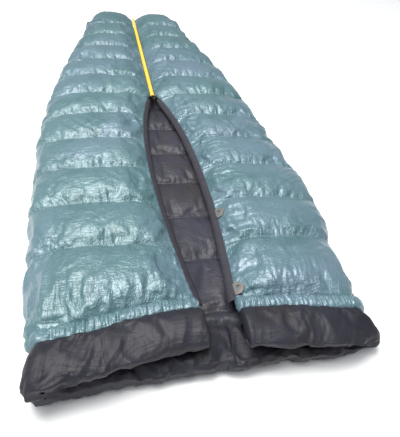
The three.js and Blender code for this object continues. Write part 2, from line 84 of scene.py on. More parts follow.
FLOOR_CLEAR = 0.2 * MM  # least height of any cloth
TURNED = "turned"  # the vertex attribute that says how far round the fold a tube's ring is
Array = np.ndarray
Frame = dict[str, Any]


class Side(Enum):
    """The two long sides of the quilt, as the sign of X."""

    LEFT = -1
    RIGHT = 1

    @property
    def word(self) -> str:
        """The side's name as it stands in the frame's nodes and bodies."""
        return self.name.lower()

    @property
    def flap(self) -> str:
        """The body that this side's flap rides on."""
        return f"{self.word}_flap"


# ---------------------------------------------------------------- small tools


def ease(start: float, end: float, value: Array | float) -> Array | float:
    """A smooth step.

    Args:
        start: value at which the step leaves 0.
        end: value at which it reaches 1.
        value: where it is read.

    Returns:
        Numbers from 0 to 1.
    """
    share = np.clip((value - start) / (end - start), 0.0, 1.0)
    return share * share * (3.0 - 2.0 * share)


def bulge(phase: Array, sharp: float, full: float) -> Array:
    """The pillow profile of a channel: 0 at both seams, 1 in its middle.

    Args:
        phase: place in the channel, 0 to 1.
        sharp: how wide the flat middle is.
        full: how steeply it leaves the seams; less is steeper.

    Returns:
        The profile at each phase.
    """
    return np.maximum(0.0, 1.0 - np.abs(2.0 * phase - 1.0) ** sharp) ** full


def wander(points: Array, scale: float, seed: float) -> Array:
    """Smooth noise at many points.

    Args:
        points: an array whose last axis is X, Y, Z.
        scale: waves per metre.
        seed: shifts the noise, so that pieces differ.

    Returns:
        Numbers from about -1 to 1, one for each point.
    """
    flat = points.reshape(-1, 3) * scale + seed * 7.31
    values = [noise.noise(Vector(p)) for p in flat.tolist()]
    return np.array(values).reshape(points.shape[:-1])


def box_of(node: str) -> tuple[Array, Array]:
    """The lowest and highest corner of a frame node, as arrays."""
    low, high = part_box(node)
    return np.array(low), np.array(high)


def corners_of(frame: Frame, node: str) -> Array:
    """All corners of a frame node's mesh, as rows of X, Y, Z."""
    mesh = frame["nodes"][node].data
    flat = np.zeros(len(mesh.vertices) * 3)
    mesh.vertices.foreach_get("co", flat)
    return flat.reshape(-1, 3)


def rows_extreme(corners: Array, pick: Callable[[Array], float]) -> tuple[Array, Array]:
    """One number for each row of corners that share their Y.

    Args:
        corners: rows of X, Y, Z.
        pick: chooses a number from the Xs of one row.

    Returns:
        The Ys, rising, and the number picked in each.
    """
    keys = np.round(corners[:, 1], 4)
    ys = np.unique(keys)
    return ys, np.array([pick(corners[keys == y, 0]) for y in ys])


# ---------------------------------------------------------------- measures


@dataclass(frozen=True)
class Draw:
    """Cloth drawn out towards the head, more and more over a stretch of its distance from the middle."""

    length: float
    start: float
    end: float


DRAWS = {
    Side.LEFT: (Draw(42 * MM, 0.05, 0.33),),
    Side.RIGHT: (Draw(8 * MM, 0.03, 0.06), Draw(20 * MM, 0.08, 0.32)),
}
DRAW_DEPTH = 0.16  # length of the body over which a draw fades out
DRAW_BACK_SHARE = 0.25  # share of a draw that the back takes


@dataclass
class Plan:
    """The quilt's measures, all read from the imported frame."""

    head: float
    tunnel_head: float
    body_head: float
    body_foot: float
    foot: float
    top: float
    flap_floor: float
    back_top: float
    edge_z: float
    fold_z: float
    zip_head: float
    binding_foot: float
    tunnel_inner: dict[Side, float]
    collar_inner: dict[Side, float]
    fold_origin: Vector
    fold_axis: Vector
    reach_rows: tuple[Array, Array]
    outer_rows: dict[Side, tuple[Array, Array]]
    inner_rows: dict[Side, tuple[Array, Array]]
    plates: tuple[Array, ...]
    channels: int = 12

    @classmethod
    def read(cls, frame: Frame) -> Plan:
        """Reads the measures.


        Returns:
            The plan.
        """
        shell = box_of("right_shell")
        tunnel = box_of("back_drawcord_tunnel")
        binding = box_of("right_edge_binding")
        joint = next(j for j in frame["joints"] if j["name"] == "right_flap_fold")
        fold = corners_of(frame, "right_side_fold")
        outer, inner = {}, {}
        for side in Side:
            near = (lambda xs: xs.min()) if side is Side.RIGHT else (lambda xs: xs.max())
            outer[side] = rows_extreme(corners_of(frame, f"{side.word}_shell"), near)
            inner[side] = rows_extreme(corners_of(frame, f"{side.word}_edge_binding"), near)
        return cls(
            head=box_of("right_collar_cover")[0][1],
            tunnel_head=tunnel[0][1],
            body_head=shell[0][1],
            body_foot=shell[1][1],
            foot=box_of("back_foot_hem")[1][1],
            top=shell[1][2],
            flap_floor=box_of("right_lining")[0][2],
            back_top=box_of("back_lining")[1][2],
            edge_z=(binding[0][2] + binding[1][2]) / 2,
            fold_z=joint["pos_m"][2],
            zip_head=box_of("left_zip_tape")[0][1],
            binding_foot=binding[1][1],
            tunnel_inner={s: cls._inner(f"{s.word}_drawcord_tunnel", s) for s in Side},
            collar_inner={s: cls._inner(f"{s.word}_collar_cover", s) for s in Side},
            fold_origin=Vector(joint["pos_m"]),
            fold_axis=Vector(joint["axis"]),
            reach_rows=rows_extreme(fold, lambda xs: xs.max()),
            outer_rows=outer,
            inner_rows=inner,
            plates=tuple(corners_of(frame, node) for node in ("pad_tab_head", "pad_tab_middle")),
        )

    @staticmethod
    def _inner(node: str, side: Side) -> float:
        """X of a flap piece's end at the opening."""
        low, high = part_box(node)
        return low.x if side is Side.RIGHT else high.x

    @property
    def pitch(self) -> float:
        """Width of one channel."""
        return (self.body_foot - self.body_head) / self.channels

    @property
    def seams(self) -> Array:
        """Y of every seam line, with both ends of the quilted body."""
        return np.linspace(self.body_head, self.body_foot, self.channels + 1)

    def fold_x(self, y: Array | float) -> Array | float:
        """Distance from the middle to the fold line at Y."""
        slope = self.fold_axis.x / self.fold_axis.y
        return self.fold_origin.x + slope * (y - self.fold_origin.y)

    def reach_x(self, y: Array | float) -> Array | float:
        """Distance from the middle to the soft outer edge at Y, as it is in the middle of the channels."""
        middles = (self.seams[1:] + self.seams[:-1]) / 2
        knots = np.r_[self.reach_rows[0][0], middles, self.reach_rows[0][-1]]
        return np.interp(y, knots, np.interp(knots, *self.reach_rows))

    def flap_edge(self, side: Side, y: Array | float) -> Array | float:
        """X of a flap's padded edge at Y: beside the binding, or beside the zip."""
        return np.interp(y, *self.outer_rows[side])

    def opening_edge(self, side: Side, y: Array | float) -> Array | float:
        """X of the inner edge of a flap's binding at Y."""
        return np.interp(y, *self.inner_rows[side])

    def slant(self, points: Array) -> Array:
        """Draws the head end of both flaps out towards their outer corners.

        Args:
            points: places, with X, Y, Z on the last axis.

        Returns:
            The places, moved along Y.
        """
        x, y, z = points[..., 0], points[..., 1], points[..., 2]
        drawn = sum(
            sum(draw.length * ease(draw.start, draw.end, side.value * x) for draw in DRAWS[side]) for side in Side
        )
        above = ease(self.fold_z - 14 * MM, self.fold_z + 8 * MM, z)
        layer = DRAW_BACK_SHARE + (1 - DRAW_BACK_SHARE) * above
        moved = points.copy()
        moved[..., 1] -= drawn * ease(self.body_head + DRAW_DEPTH, self.body_head, y) * layer
        return moved


# ---------------------------------------------------------------- meshes


def deselect() -> None:
    """Leaves nothing selected, so that an operator acts on the new piece only."""
    for item in bpy.context.selected_objects:
        item.select_set(False)


def activate(piece: bpy.types.Object) -> None:
    """Makes a piece the one selected and active object."""
    deselect()
    piece.select_set(True)
    bpy.context.view_layer.objects.active = piece


def grid_piece(
    name: str, points: Array, lengths: Array | None = None, turned: Array | None = None
) -> bpy.types.Object:
    """A sheet of quads: a grid primitive whose corners are moved to their places.

    Args:
        name: the piece's name.
        points: places, rows by columns by 3.
        lengths: the UV map in metres, rows by columns by 2; worked out from the places if it is left out.
        turned: for each row, how far round the fold it is; every vertex keeps the value for bend_by_row().

    Returns:
        The new object, at the origin.
    """
    rows, columns = points.shape[:2]
    deselect()
    bpy.ops.mesh.primitive_grid_add(x_subdivisions=columns - 1, y_subdivisions=rows - 1, size=1.0)
    piece = bpy.context.object
    piece.name = piece.data.name = name
    mesh = piece.data
    flat = np.zeros(len(mesh.vertices) * 3)
    mesh.vertices.foreach_get("co", flat)
    start = flat.reshape(-1, 3)
    column = np.rint((start[:, 0] + 0.5) * (columns - 1)).astype(int)
    row = np.rint((start[:, 1] + 0.5) * (rows - 1)).astype(int)
    mesh.vertices.foreach_set("co", points[row, column].astype(np.float32).ravel())
    if lengths is None:
        lengths = flat_lengths(points)
    corner = np.zeros(len(mesh.loops), dtype=np.int32)
    mesh.loops.foreach_get("vertex_index", corner)
    uv = lengths[row, column][corner]
    mesh.uv_layers[0].data.foreach_set("uv", uv.astype(np.float32).ravel())
    if turned is not None:
        kept = mesh.attributes.new(TURNED, "FLOAT", "POINT")
        kept.data.foreach_set("value", turned[row].astype(np.float32))
    mesh.update()
    return piece


def flat_lengths(points: Array) -> Array:
    """Distances along the cloth: across each row, and along its first column."""
    across = np.linalg.norm(np.diff(points, axis=1), axis=2)
    across = np.concatenate([np.zeros((len(points), 1)), np.cumsum(across, axis=1)], axis=1)
    along = np.repeat(points[:, :1, 1], points.shape[1], axis=1)
    return np.stack([across, along], axis=2)


def read_points(piece: bpy.types.Object) -> Array:
    """The places of a piece's vertices."""
    flat = np.zeros(len(piece.data.vertices) * 3)
    piece.data.vertices.foreach_get("co", flat)
    return flat.reshape(-1, 3)


def write_points(piece: bpy.types.Object, points: Array) -> None:
    """Moves a piece's vertices to the given places."""
    piece.data.vertices.foreach_set("co", points.astype(np.float32).ravel())
    piece.data.update()


def apply_all(piece: bpy.types.Object) -> None:
    """Applies every modifier of a piece, in order."""
    activate(piece)
    for modifier in list(piece.modifiers):
        bpy.ops.object.modifier_apply(modifier=modifier.name)


def refine(piece: bpy.types.Object) -> None:
    """Subdivides a piece smoothly, once, and shades it smooth."""
    step = piece.modifiers.new("Refine", "SUBSURF")
    step.levels = step.render_levels = 1
    apply_all(piece)
    bpy.ops.object.shade_smooth()


def close_tube(piece: bpy.types.Object) -> None:
    """Joins a rolled grid, whose last column lies on its first, and its pinched ends, with its faces pointing out."""
    activate(piece)
    bpy.ops.object.mode_set(mode="EDIT")
    bpy.ops.mesh.select_all(action="SELECT")
    bpy.ops.mesh.remove_doubles(threshold=0.05 * MM)
    bpy.ops.mesh.normals_make_consistent(inside=False)
    bpy.ops.mesh.select_all(action="DESELECT")
    bpy.ops.object.mode_set(mode="OBJECT")


@dataclass(frozen=True)
class Creases:
    """One family of sharp, irregular creases in a cloth.

    Height is in metres, across and along in creases per metre, and turn in degrees. Drift bends the creases, a lower
    keen makes them sharper, and patchy is how far they fade between patches.
    """

    height: float
    across: float
    along: float
    seed: int
    turn: float = 0.0
    drift: float = 1.2
    keen: float = 0.85
    patchy: float = 0.6
    drift_waves: float = 9.0
    patch_waves: float = 8.0
    finer: float = 2.1
    shares: tuple[float, float] = (0.68, 0.32)
    settle: float = 0.25

    def ridges(self, where: Array, seed: int) -> Array:
        """1 on a crease's ridge, and below 0 far from it."""
        return 1 - 2.2 * np.abs(wander(where, 1.0, seed)) ** self.keen

    def lift(self, places: Array, shift: int) -> Array:
        """How far each place is lifted.

        Args:
            places: rows of X, Y, Z.
            shift: added to the seed, so that pieces differ.

        Returns:
            Heights in metres, above and below 0.
        """
        seed = self.seed + shift
        angle = math.radians(self.turn)
        x = places[:, 0] * math.cos(angle) - places[:, 1] * math.sin(angle)
        y = places[:, 0] * math.sin(angle) + places[:, 1] * math.cos(angle)
        where = np.stack([x * self.across, y * self.along, places[:, 2] * self.across * 0.7], axis=1)
        where[:, 0] += self.drift * wander(places, self.drift_waves, seed)
        where[:, 1] += self.drift * wander(places, self.drift_waves, seed + 1)
        large, small = self.ridges(where, seed), self.ridges(where * self.finer, seed + 4)
        patches = 1 - self.patchy * ease(0.2, -0.3, wander(places, self.patch_waves, seed + 9))
        return (self.shares[0] * large + self.shares[1] * small - self.settle) * patches * self.height


def crinkle(piece: bpy.types.Object, shift: int, *layers: tuple[Creases, Array | float]) -> None:
    """Works creases into a finished skin.

    Args:
        piece: the mesh.
        shift: added to every seed, so that pieces differ.
        layers: families of creases, each with how strong it is at every vertex.
    """
    places = read_points(piece)
    normals = np.zeros(len(places) * 3, dtype=np.float32)
    piece.data.vertex_normals.foreach_get("vector", normals)
    lift = sum(creases.lift(places, shift) * share for creases, share in layers)
    write_points(piece, places + normals.reshape(-1, 3) * lift[:, None])


def keep_between(piece: bpy.types.Object, high: float) -> None:
    """Flattens what would reach below the ground, and presses down what stands too tall.

    Args:
        piece: the mesh.
        high: the greatest height.
    """
    soft = 4 * MM  # over this much height the press sets in
    places = read_points(piece)
    knee = high - soft
    over = np.maximum(places[:, 2] - knee, 0.0)
    places[:, 2] = np.where(over > 0, knee + soft * np.tanh(over / soft), places[:, 2])
    places[:, 2] = np.maximum(places[:, 2], FLOOR_CLEAR)
    write_points(piece, places)


def press_under(piece: bpy.types.Object, plate: Array, clear: float, reach: float) -> None:
    """Presses a skin down under a flat plate that lies on it.

    Args:
        piece: the skin.
        plate: the plate's corners, as rows of X, Y, Z.
        clear: space left under the plate's middle plane.
        reach: how far round the plate the skin still gives way.
    """
    places = read_points(piece)
    slope, level = np.polyfit(plate[:, 0], plate[:, 2], 1)
    ceiling = slope * places[:, 0] + level - clear
    low, high = plate.min(axis=0), plate.max(axis=0)
    outside = np.maximum(np.maximum(low - places, places - high), 0)[:, :2]
    held = ease(reach, 0.0, np.linalg.norm(outside, axis=1))
    pressed = np.minimum(places[:, 2], ceiling)
    top_layer = places[:, 2] > ceiling - 30 * MM
    places[:, 2] = np.where(top_layer, places[:, 2] * (1 - held) + pressed * held, places[:, 2])
    write_points(piece, places)


def evenly(path: Array, count: int) -> Array:
    """Walks a line in even steps.

    Args:
        path: its corners, as rows.
        count: how many places are wanted.

    Returns:
        The places, with both ends.
    """
    run = np.r_[0, np.cumsum(np.linalg.norm(np.diff(path, axis=0), axis=1))]
    even = np.linspace(0, run[-1], count)
    return np.stack([np.interp(even, run, path[:, k]) for k in range(path.shape[1])], axis=1)


# ---------------------------------------------------------------- cloth


@dataclass
class Swatch:
    """One piece that is waiting to be blown up and crinkled by the cloth solver."""

    piece: bpy.types.Object
    pins: Array
    gathers: Array
    pressure: float
    growth: tuple[float, float]
    cap: float
    bending: float


@dataclass
class ClothBench:
    """Runs the cloth of many pieces together: spare cloth, held along its seams, with down pushing from inside."""

    frames: int = 20
    quality: int = 4
    vertex_mass: float = 0.25
    air_damping: float = 2.0
    stretch: float = 18.0
    shear: float = 6.0
    stretch_damping: float = 6.0
    bend_damping: float = 0.6
    seam_hold: float = 40.0
    waiting: list[Swatch] = field(default_factory=list)

    def lay(
        self,
        piece: bpy.types.Object,
        pins: Array,
        gathers: Array,
        pressure: float,
        growth: tuple[float, float],
        cap: float,
        bending: float,
    ) -> None:
        """Puts a piece on the bench.

        Args:
            piece: the mesh, in its starting shape.
            pins: for each vertex, 1 where it is sewn down and 0 where it is free.
            gathers: for each vertex, 0 to 1, where the cloth is gathered most.
            pressure: push of the down.
            growth: share of spare cloth where it is gathered least and most.
            cap: how far a vertex may move, in metres.
            bending: the cloth's resistance to folding.
        """
        self.waiting.append(Swatch(piece, pins, gathers, pressure, growth, cap, bending))

    def run(self) -> None:
        """Steps the solver, keeps each piece within its cap, and refines it."""
        for swatch in self.waiting:
            self._dress(swatch)
        scene = bpy.context.scene
        scene.frame_start, scene.frame_end = 1, self.frames
        for step in range(1, self.frames + 1):
            scene.frame_set(step)
        for swatch in self.waiting:
            self._take_off(swatch)
        scene.frame_set(1)
        for swatch in self.waiting:
            refine(swatch.piece)
        LOG.info("cloth: %d pieces, %d frames", len(self.waiting), self.frames)
        self.waiting.clear()

    def _group(self, piece: bpy.types.Object, name: str, weights: Array) -> str:
        """Writes a vertex group and returns its name."""
        group = piece.vertex_groups.new(name=name)
        shares = np.round(weights, 2)
        for share in np.unique(shares):
            group.add(np.nonzero(shares == share)[0].tolist(), float(share), "REPLACE")
        return group.name

    def _dress(self, swatch: Swatch) -> None:
        """Gives a piece its cloth modifier."""
        piece = swatch.piece
        pins = self._group(piece, "sewn", swatch.pins)
        gathers = self._group(piece, "gathered", swatch.gathers)
        cloth = piece.modifiers.new("Cloth", "CLOTH")
        settings = cloth.settings
        settings.quality = self.quality
        settings.mass = self.vertex_mass
        settings.air_damping = self.air_damping
        settings.tension_stiffness = settings.compression_stiffness = self.stretch
        settings.shear_stiffness = self.shear
        settings.bending_stiffness = swatch.bending
        settings.tension_damping = settings.compression_damping = self.stretch_damping
        settings.shear_damping = self.stretch_damping
        settings.bending_damping = self.bend_damping
        settings.vertex_group_mass = pins
        settings.pin_stiffness = self.seam_hold
        settings.vertex_group_shrink = gathers
        settings.shrink_min = -swatch.growth[0]
        settings.shrink_max = -swatch.growth[1]
        settings.use_pressure = True
        settings.uniform_pressure_force = swatch.pressure
        settings.effector_weights.gravity = 0.0
        cloth.collision_settings.use_collision = False
        cloth.point_cache.frame_start, cloth.point_cache.frame_end = 1, self.frames

    def _take_off(self, swatch: Swatch) -> None:
        """Keeps the simulated shape, within the cap, and removes the modifier and the groups."""
        piece = swatch.piece
        before = read_points(piece)
        activate(piece)
        bpy.ops.object.modifier_apply(modifier="Cloth")
        moved = read_points(piece) - before
        length = np.linalg.norm(moved, axis=1, keepdims=True)
        LOG.info("%s moved %.1f mm at most", piece.name, length.max() / MM)
        limit = swatch.cap * np.tanh(length / swatch.cap) / np.maximum(length, 1e-9)
        write_points(piece, before + moved * limit)
        piece.vertex_groups.clear()


# ---------------------------------------------------------------- quilted skins


@dataclass(frozen=True)
class Swerve:
    """How one side's outline leaves the frame's even taper, each with the places of Y where it sets in and is full."""

    head_slim: float
    head_span: tuple[float, float]
    belly: float
    belly_y: float
    belly_span: tuple[float, float]
    foot_wide: float
    foot_span: tuple[float, float] = (0.80, 0.95)

    def slim(self, y: float) -> tuple[float, float]:
        """How much narrower the side is at Y: by its head and belly, and by its foot."""
        belly = self.belly * ease(*self.belly_span, abs(y - self.belly_y))
        return self.head_slim * ease(*self.head_span, y) - belly, -self.foot_wide * ease(*self.foot_span, y)


SWERVES = {
    Side.LEFT: Swerve(8 * MM, (-0.55, -0.70), 14 * MM, -0.05, (0.45, 0.1), 0.0),
    Side.RIGHT: Swerve(20 * MM, (-0.62, -0.76), 12 * MM, -0.47, (0.25, 0.0), 14 * MM),
}


@dataclass
class OuterSkin:
    """The teal cloth of one side: from the flap's free edge over the top and round the fold to the ground."""

    plan: Plan
    side: Side
    columns_upper: int = 68
    columns_lower: int = 17
    fine_top: int = 60
    fine_round: int = 121
    rows_each: int = 24
    pillow: tuple[float, float] = (2.2, 0.7)
    last_pillow: tuple[float, float] = (3.2, 0.5)
    crown: float = 90 * MM
    crown_power: float = 2.3
    rise: float = 1.5 * MM
    swell: float = 1 * MM
    valley: float = 15 * MM
    shoulder: float = 0.36
    tuck: float = 30 * MM
    square_above: float = 2.05
    square_below: float = 2.35
    scallop: float = 6 * MM
    seam_drift: float = 3.5 * MM
    uneven: float = 4 * MM
    still: float = 50 * MM
    head_drop: float = 9 * MM
    head_lift: float = 10 * MM
    head_tuck: float = 9 * MM
    head_flat: float = 0.72
    head_narrow: float = 0.02
    crest_low: float = 0.5 * MM
    seam_low: float = 5 * MM
    foot_slim: float = 20 * MM
    foot_span: tuple[float, float] = (0.3, 0.85)
    overhang: float = 16 * MM
    most: float = 12.5 * MM
    plate_clear: float = 2.6 * MM
    plate_reach: float = 22 * MM
    pressure: float = 1.1
    growth: tuple[float, float] = (0.09, 0.17)
    cap: float = 8 * MM
    bending: float = 0.01
    bend: tuple[float, float] = (45 * MM, 67 * MM)
    seam_pucker: Creases = Creases(2.6 * MM, 70.0, 10.0, 81)
    slit_gathers: Creases = Creases(4.6 * MM, 9.0, 46.0, 83)
    head_gathers: Creases = Creases(3.4 * MM, 55.0, 6.0, 85)
    slack: Creases = Creases(3.2 * MM, 7.0, 24.0, 87, turn=35.0, patchy=0.95)
    cross_slack: Creases = Creases(2.6 * MM, 7.0, 28.0, 89, turn=-28.0, patchy=0.95)

    def reach(self, y: float) -> float:
        """Distance from the middle to the outermost cloth of a crest at Y."""
        slim = self.foot_slim * ease(*self.foot_span, y)
        for part in SWERVES[self.side].slim(y):
            slim += part
        return self.plan.reach_x(y) - slim

    def section(self, y: float, crest: bool) -> Array:
        """The section of the cloth at Y, on a crest or in a seam.

        Args:
            y: place along the quilt.
            crest: True on a crest, False in a seam.

        Returns:
            Rows of X (away from the middle) and Z.
        """
        plan = self.plan
        edge = self.side.value * plan.flap_edge(self.side, y)
        fold = plan.fold_x(y)
        reach = self.reach(y) - (0.0 if crest else self.scallop)
        ends = 1.0 - ease(0.0, plan.pitch * 0.5, y - plan.body_head)
        height = plan.top + self.swell if crest else plan.top - self.valley - self.head_drop * ends
        low = self.crest_low if crest else self.seam_low + self.head_lift * ends
        turn_x = fold * (1 - self.shoulder)
        top_x = np.linspace(edge, turn_x, self.fine_top, endpoint=False)
        crown = 1.0 - (1.0 - np.clip((top_x - edge) / self.crown, 0, 1)) ** self.crown_power
        top_z = plan.edge_z + self.rise + (height - plan.edge_z - self.rise) * crown
        angle = np.linspace(math.pi / 2, -math.pi / 2, self.fine_round)
        power = np.where(angle > 0, 2.0 / self.square_above, 2.0 / self.square_below)
        round_x = turn_x + (reach - turn_x) * np.cos(angle).clip(0) ** power
        half = np.where(angle > 0, height - plan.fold_z, plan.fold_z - low)
        round_z = plan.fold_z + half * np.sign(np.sin(angle)) * np.abs(np.sin(angle)) ** power
        tail_x = np.array([turn_x - self.tuck * 0.5, turn_x - self.tuck])
        tail_z = np.full(2, low)
        return np.stack([np.r_[top_x, round_x, tail_x], np.r_[top_z, round_z, tail_z]], axis=1)

    def spread(self, path: Array) -> Array:
        """Spaces a section's corners: closely on the part that shows, widely below."""
        widest = self.fine_top + self.fine_round // 2
        upper = evenly(path[: widest + 1], self.columns_upper)
        return np.r_[upper[:-1], evenly(path[widest:], self.columns_lower)]

    def points(self) -> Array:
        """Places of the grid's corners before the cloth is simulated, from a row tucked under the tunnel."""
        plan = self.plan
        count = plan.channels * self.rows_each
        rows = []
        for i in range(count + 1):
            y = plan.body_head + (plan.body_foot - plan.body_head) * i / count
            phase = np.array((i % self.rows_each) / self.rows_each)
            last = i > count - self.rows_each / 2
            share = float(bulge(phase, *(self.last_pillow if last else self.pillow)))
            section = self.section(y, False) * (1 - share) + self.section(y, True) * share
            section = self.spread(section)
            rows.append(np.c_[section[:, 0] * self.side.value, np.full(len(section), y), section[:, 1]])
        tucked = rows[0].copy()
        tucked[:, 0] -= self.side.value * self.head_narrow * np.abs(tucked[:, 0])
        tucked[:, 1] -= self.head_tuck
        tucked[:, 2] = plan.fold_z + (tucked[:, 2] - plan.fold_z) * self.head_flat
        points = np.array([tucked, *rows])
        inside = ease(0.0, self.still, points[..., 1] - plan.body_head)
        inside = inside * ease(0.0, self.still, plan.body_foot - points[..., 1])
        points[..., 1] += self.seam_drift * wander(points, 4.0, 3 + self.side.value) * inside
        uneven = self.uneven * wander(points * np.array([1.0, 1.4, 0.3]), 6.0, 11 + self.side.value)
        points[..., 2] += uneven * inside * ease(0.0, self.still, points[..., 2] - plan.fold_z)
        over = self.overhang * ease(plan.body_foot - 0.10, plan.body_foot - 0.02, points[..., 1])
        points[..., 1] += over * ease(plan.edge_z, plan.edge_z + 20 * MM, points[..., 2])
        return plan.slant(points)

    def build(self, bench: ClothBench) -> bpy.types.Object:
        """Makes the grid and lays it on the bench.

        Args:
            bench: where the cloth is simulated.

        Returns:
            The piece, still to be simulated.
        """
        points = self.points()
        rows, columns = points.shape[:2]
        piece = grid_piece(f"{self.side.word}_outer_skin", points)
        if self.side is Side.LEFT:
            piece.data.flip_normals()
        grid = points.reshape(-1, 3)
        row, column = np.divmod(np.arange(rows * columns), columns)
        pins = (row == 0) | ((row - 1) % self.rows_each == 0) | (column == 0) | (column >= columns - 2)
        near_head = 1 - ease(0.0, 0.11, grid[:, 1] - self.plan.body_head)
        gathers = np.maximum(self.seam_share(grid[:, 1]) ** 2, near_head)
        bench.lay(piece, pins.astype(float), gathers, self.pressure, self.growth, self.cap, self.bending)
        return piece

    def seam_share(self, y: Array) -> Array:
        """1 on a seam, falling to 0 in the middle of a channel."""
        phase = (y - self.plan.body_head) / self.plan.pitch % 1.0
        return 1 - bulge(phase, 2.0, 1.0)

    def attach(self, piece: bpy.types.Object) -> None:
        """Creases the cloth, keeps it off the ground and under its greatest height, and bakes its transform."""
        places = read_points(piece)
        plan = self.plan
        beside = np.abs(places[:, 0]) - np.abs(plan.flap_edge(self.side, places[:, 1]))
        seam = self.seam_share(places[:, 1])
        slit = (1 - ease(0.02, 0.13, beside)) * ease(plan.zip_head + 0.12, plan.zip_head - 0.05, places[:, 1])
        head = 1 - ease(0.01, 0.10, places[:, 1] - plan.body_head)
        sewn = ease(0, 5 * MM, beside) * (0.15 + 0.85 * ease(1.0, 0.85, seam))
        upper = sewn * (0.25 + 0.75 * ease(0.01, 0.05, places[:, 2]))
        middle = (1 - seam**2) * (1 - 0.6 * slit) * (1 - head)
        crinkle(
            piece, 10 * self.side.value,
            (self.seam_pucker, upper * seam**1.3 * (1 - 0.5 * slit)), (self.slit_gathers, upper * slit),
            (self.head_gathers, upper * head), (self.slack, upper * middle), (self.cross_slack, upper * middle),
        )
        keep_between(piece, plan.top + self.most)
        if self.side is Side.RIGHT:
            for plate in plan.plates:
                press_under(piece, plate, self.plate_clear, self.plate_reach)
        bend_over_fold(piece, self.side, *self.bend)
        word = self.side.word
        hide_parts(f"{word}_shell", f"{word}_down", f"{word}_baffles", f"{word}_side_fold")


def bend_over_fold(piece: bpy.types.Object, side: Side, low: float, high: float) -> None:
    """Bakes a piece's transform into its mesh; it is not blended between the back and a flap.

    Args:
        piece: a finished mesh.
        side: which flap.
        low: not used.
        high: not used.
    """
    side.flap
    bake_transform(piece)


def bend_by_row(piece: bpy.types.Object, side: Side) -> None:
    """Bakes a tube's transform into its mesh; it is not blended between the back and a flap.

    The tube's two layers touch, so their heights can't tell them apart. While the transform is baked, each vertex
    stands at a height that says how far round the fold its ring is; then its place is given back.

    Args:
        piece: a finished mesh, whose grid was made with its rows' turns.
        side: which flap.
    """
    places = read_points(piece)
    turned = np.zeros(len(places), dtype=np.float32)
    piece.data.attributes[TURNED].data.foreach_get("value", turned)
    write_points(piece, np.c_[places[:, :2], 1 - turned])
    side.flap
    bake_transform(piece)
    write_points(piece, places)
    piece.data.attributes.remove(piece.data.attributes[TURNED])


@dataclass
class Underside:
    """The back's outer cloth on the ground, between the two outer skins."""

    plan: Plan
    columns: int = 70
    rows_each: int = 14
    reach: float = 0.66
    low: float = 0.9 * MM
    lift: float = 5 * MM
    uneven: float = 1.2 * MM
    pillow: tuple[float, float] = (2.2, 0.7)

    def build(self) -> bpy.types.Object:
        """Makes the sheet, with its seams lifted off the ground."""
        plan = self.plan
        count = plan.channels * self.rows_each
        rows = []
        for i in range(count + 1):
            y = plan.body_head + (plan.body_foot - plan.body_head) * i / count
            half = plan.fold_x(y) * self.reach
            share = float(bulge(np.array((i % self.rows_each) / self.rows_each), *self.pillow))
            x = np.linspace(-half, half, self.columns)
            z = np.full_like(x, self.low + self.lift * (1 - share))
            rows.append(np.c_[x, np.full_like(x, y), z])
        points = np.array(rows)
        points[..., 2] += self.uneven * (wander(points, 30.0, 5) + 1) * ease(1 * MM, 4 * MM, points[..., 2])
        piece = grid_piece("back_under_skin", points)
        piece.data.flip_normals()
        refine(piece)
        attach(piece, "back")
        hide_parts("back_shell", "back_down", "back_baffles")
        return piece


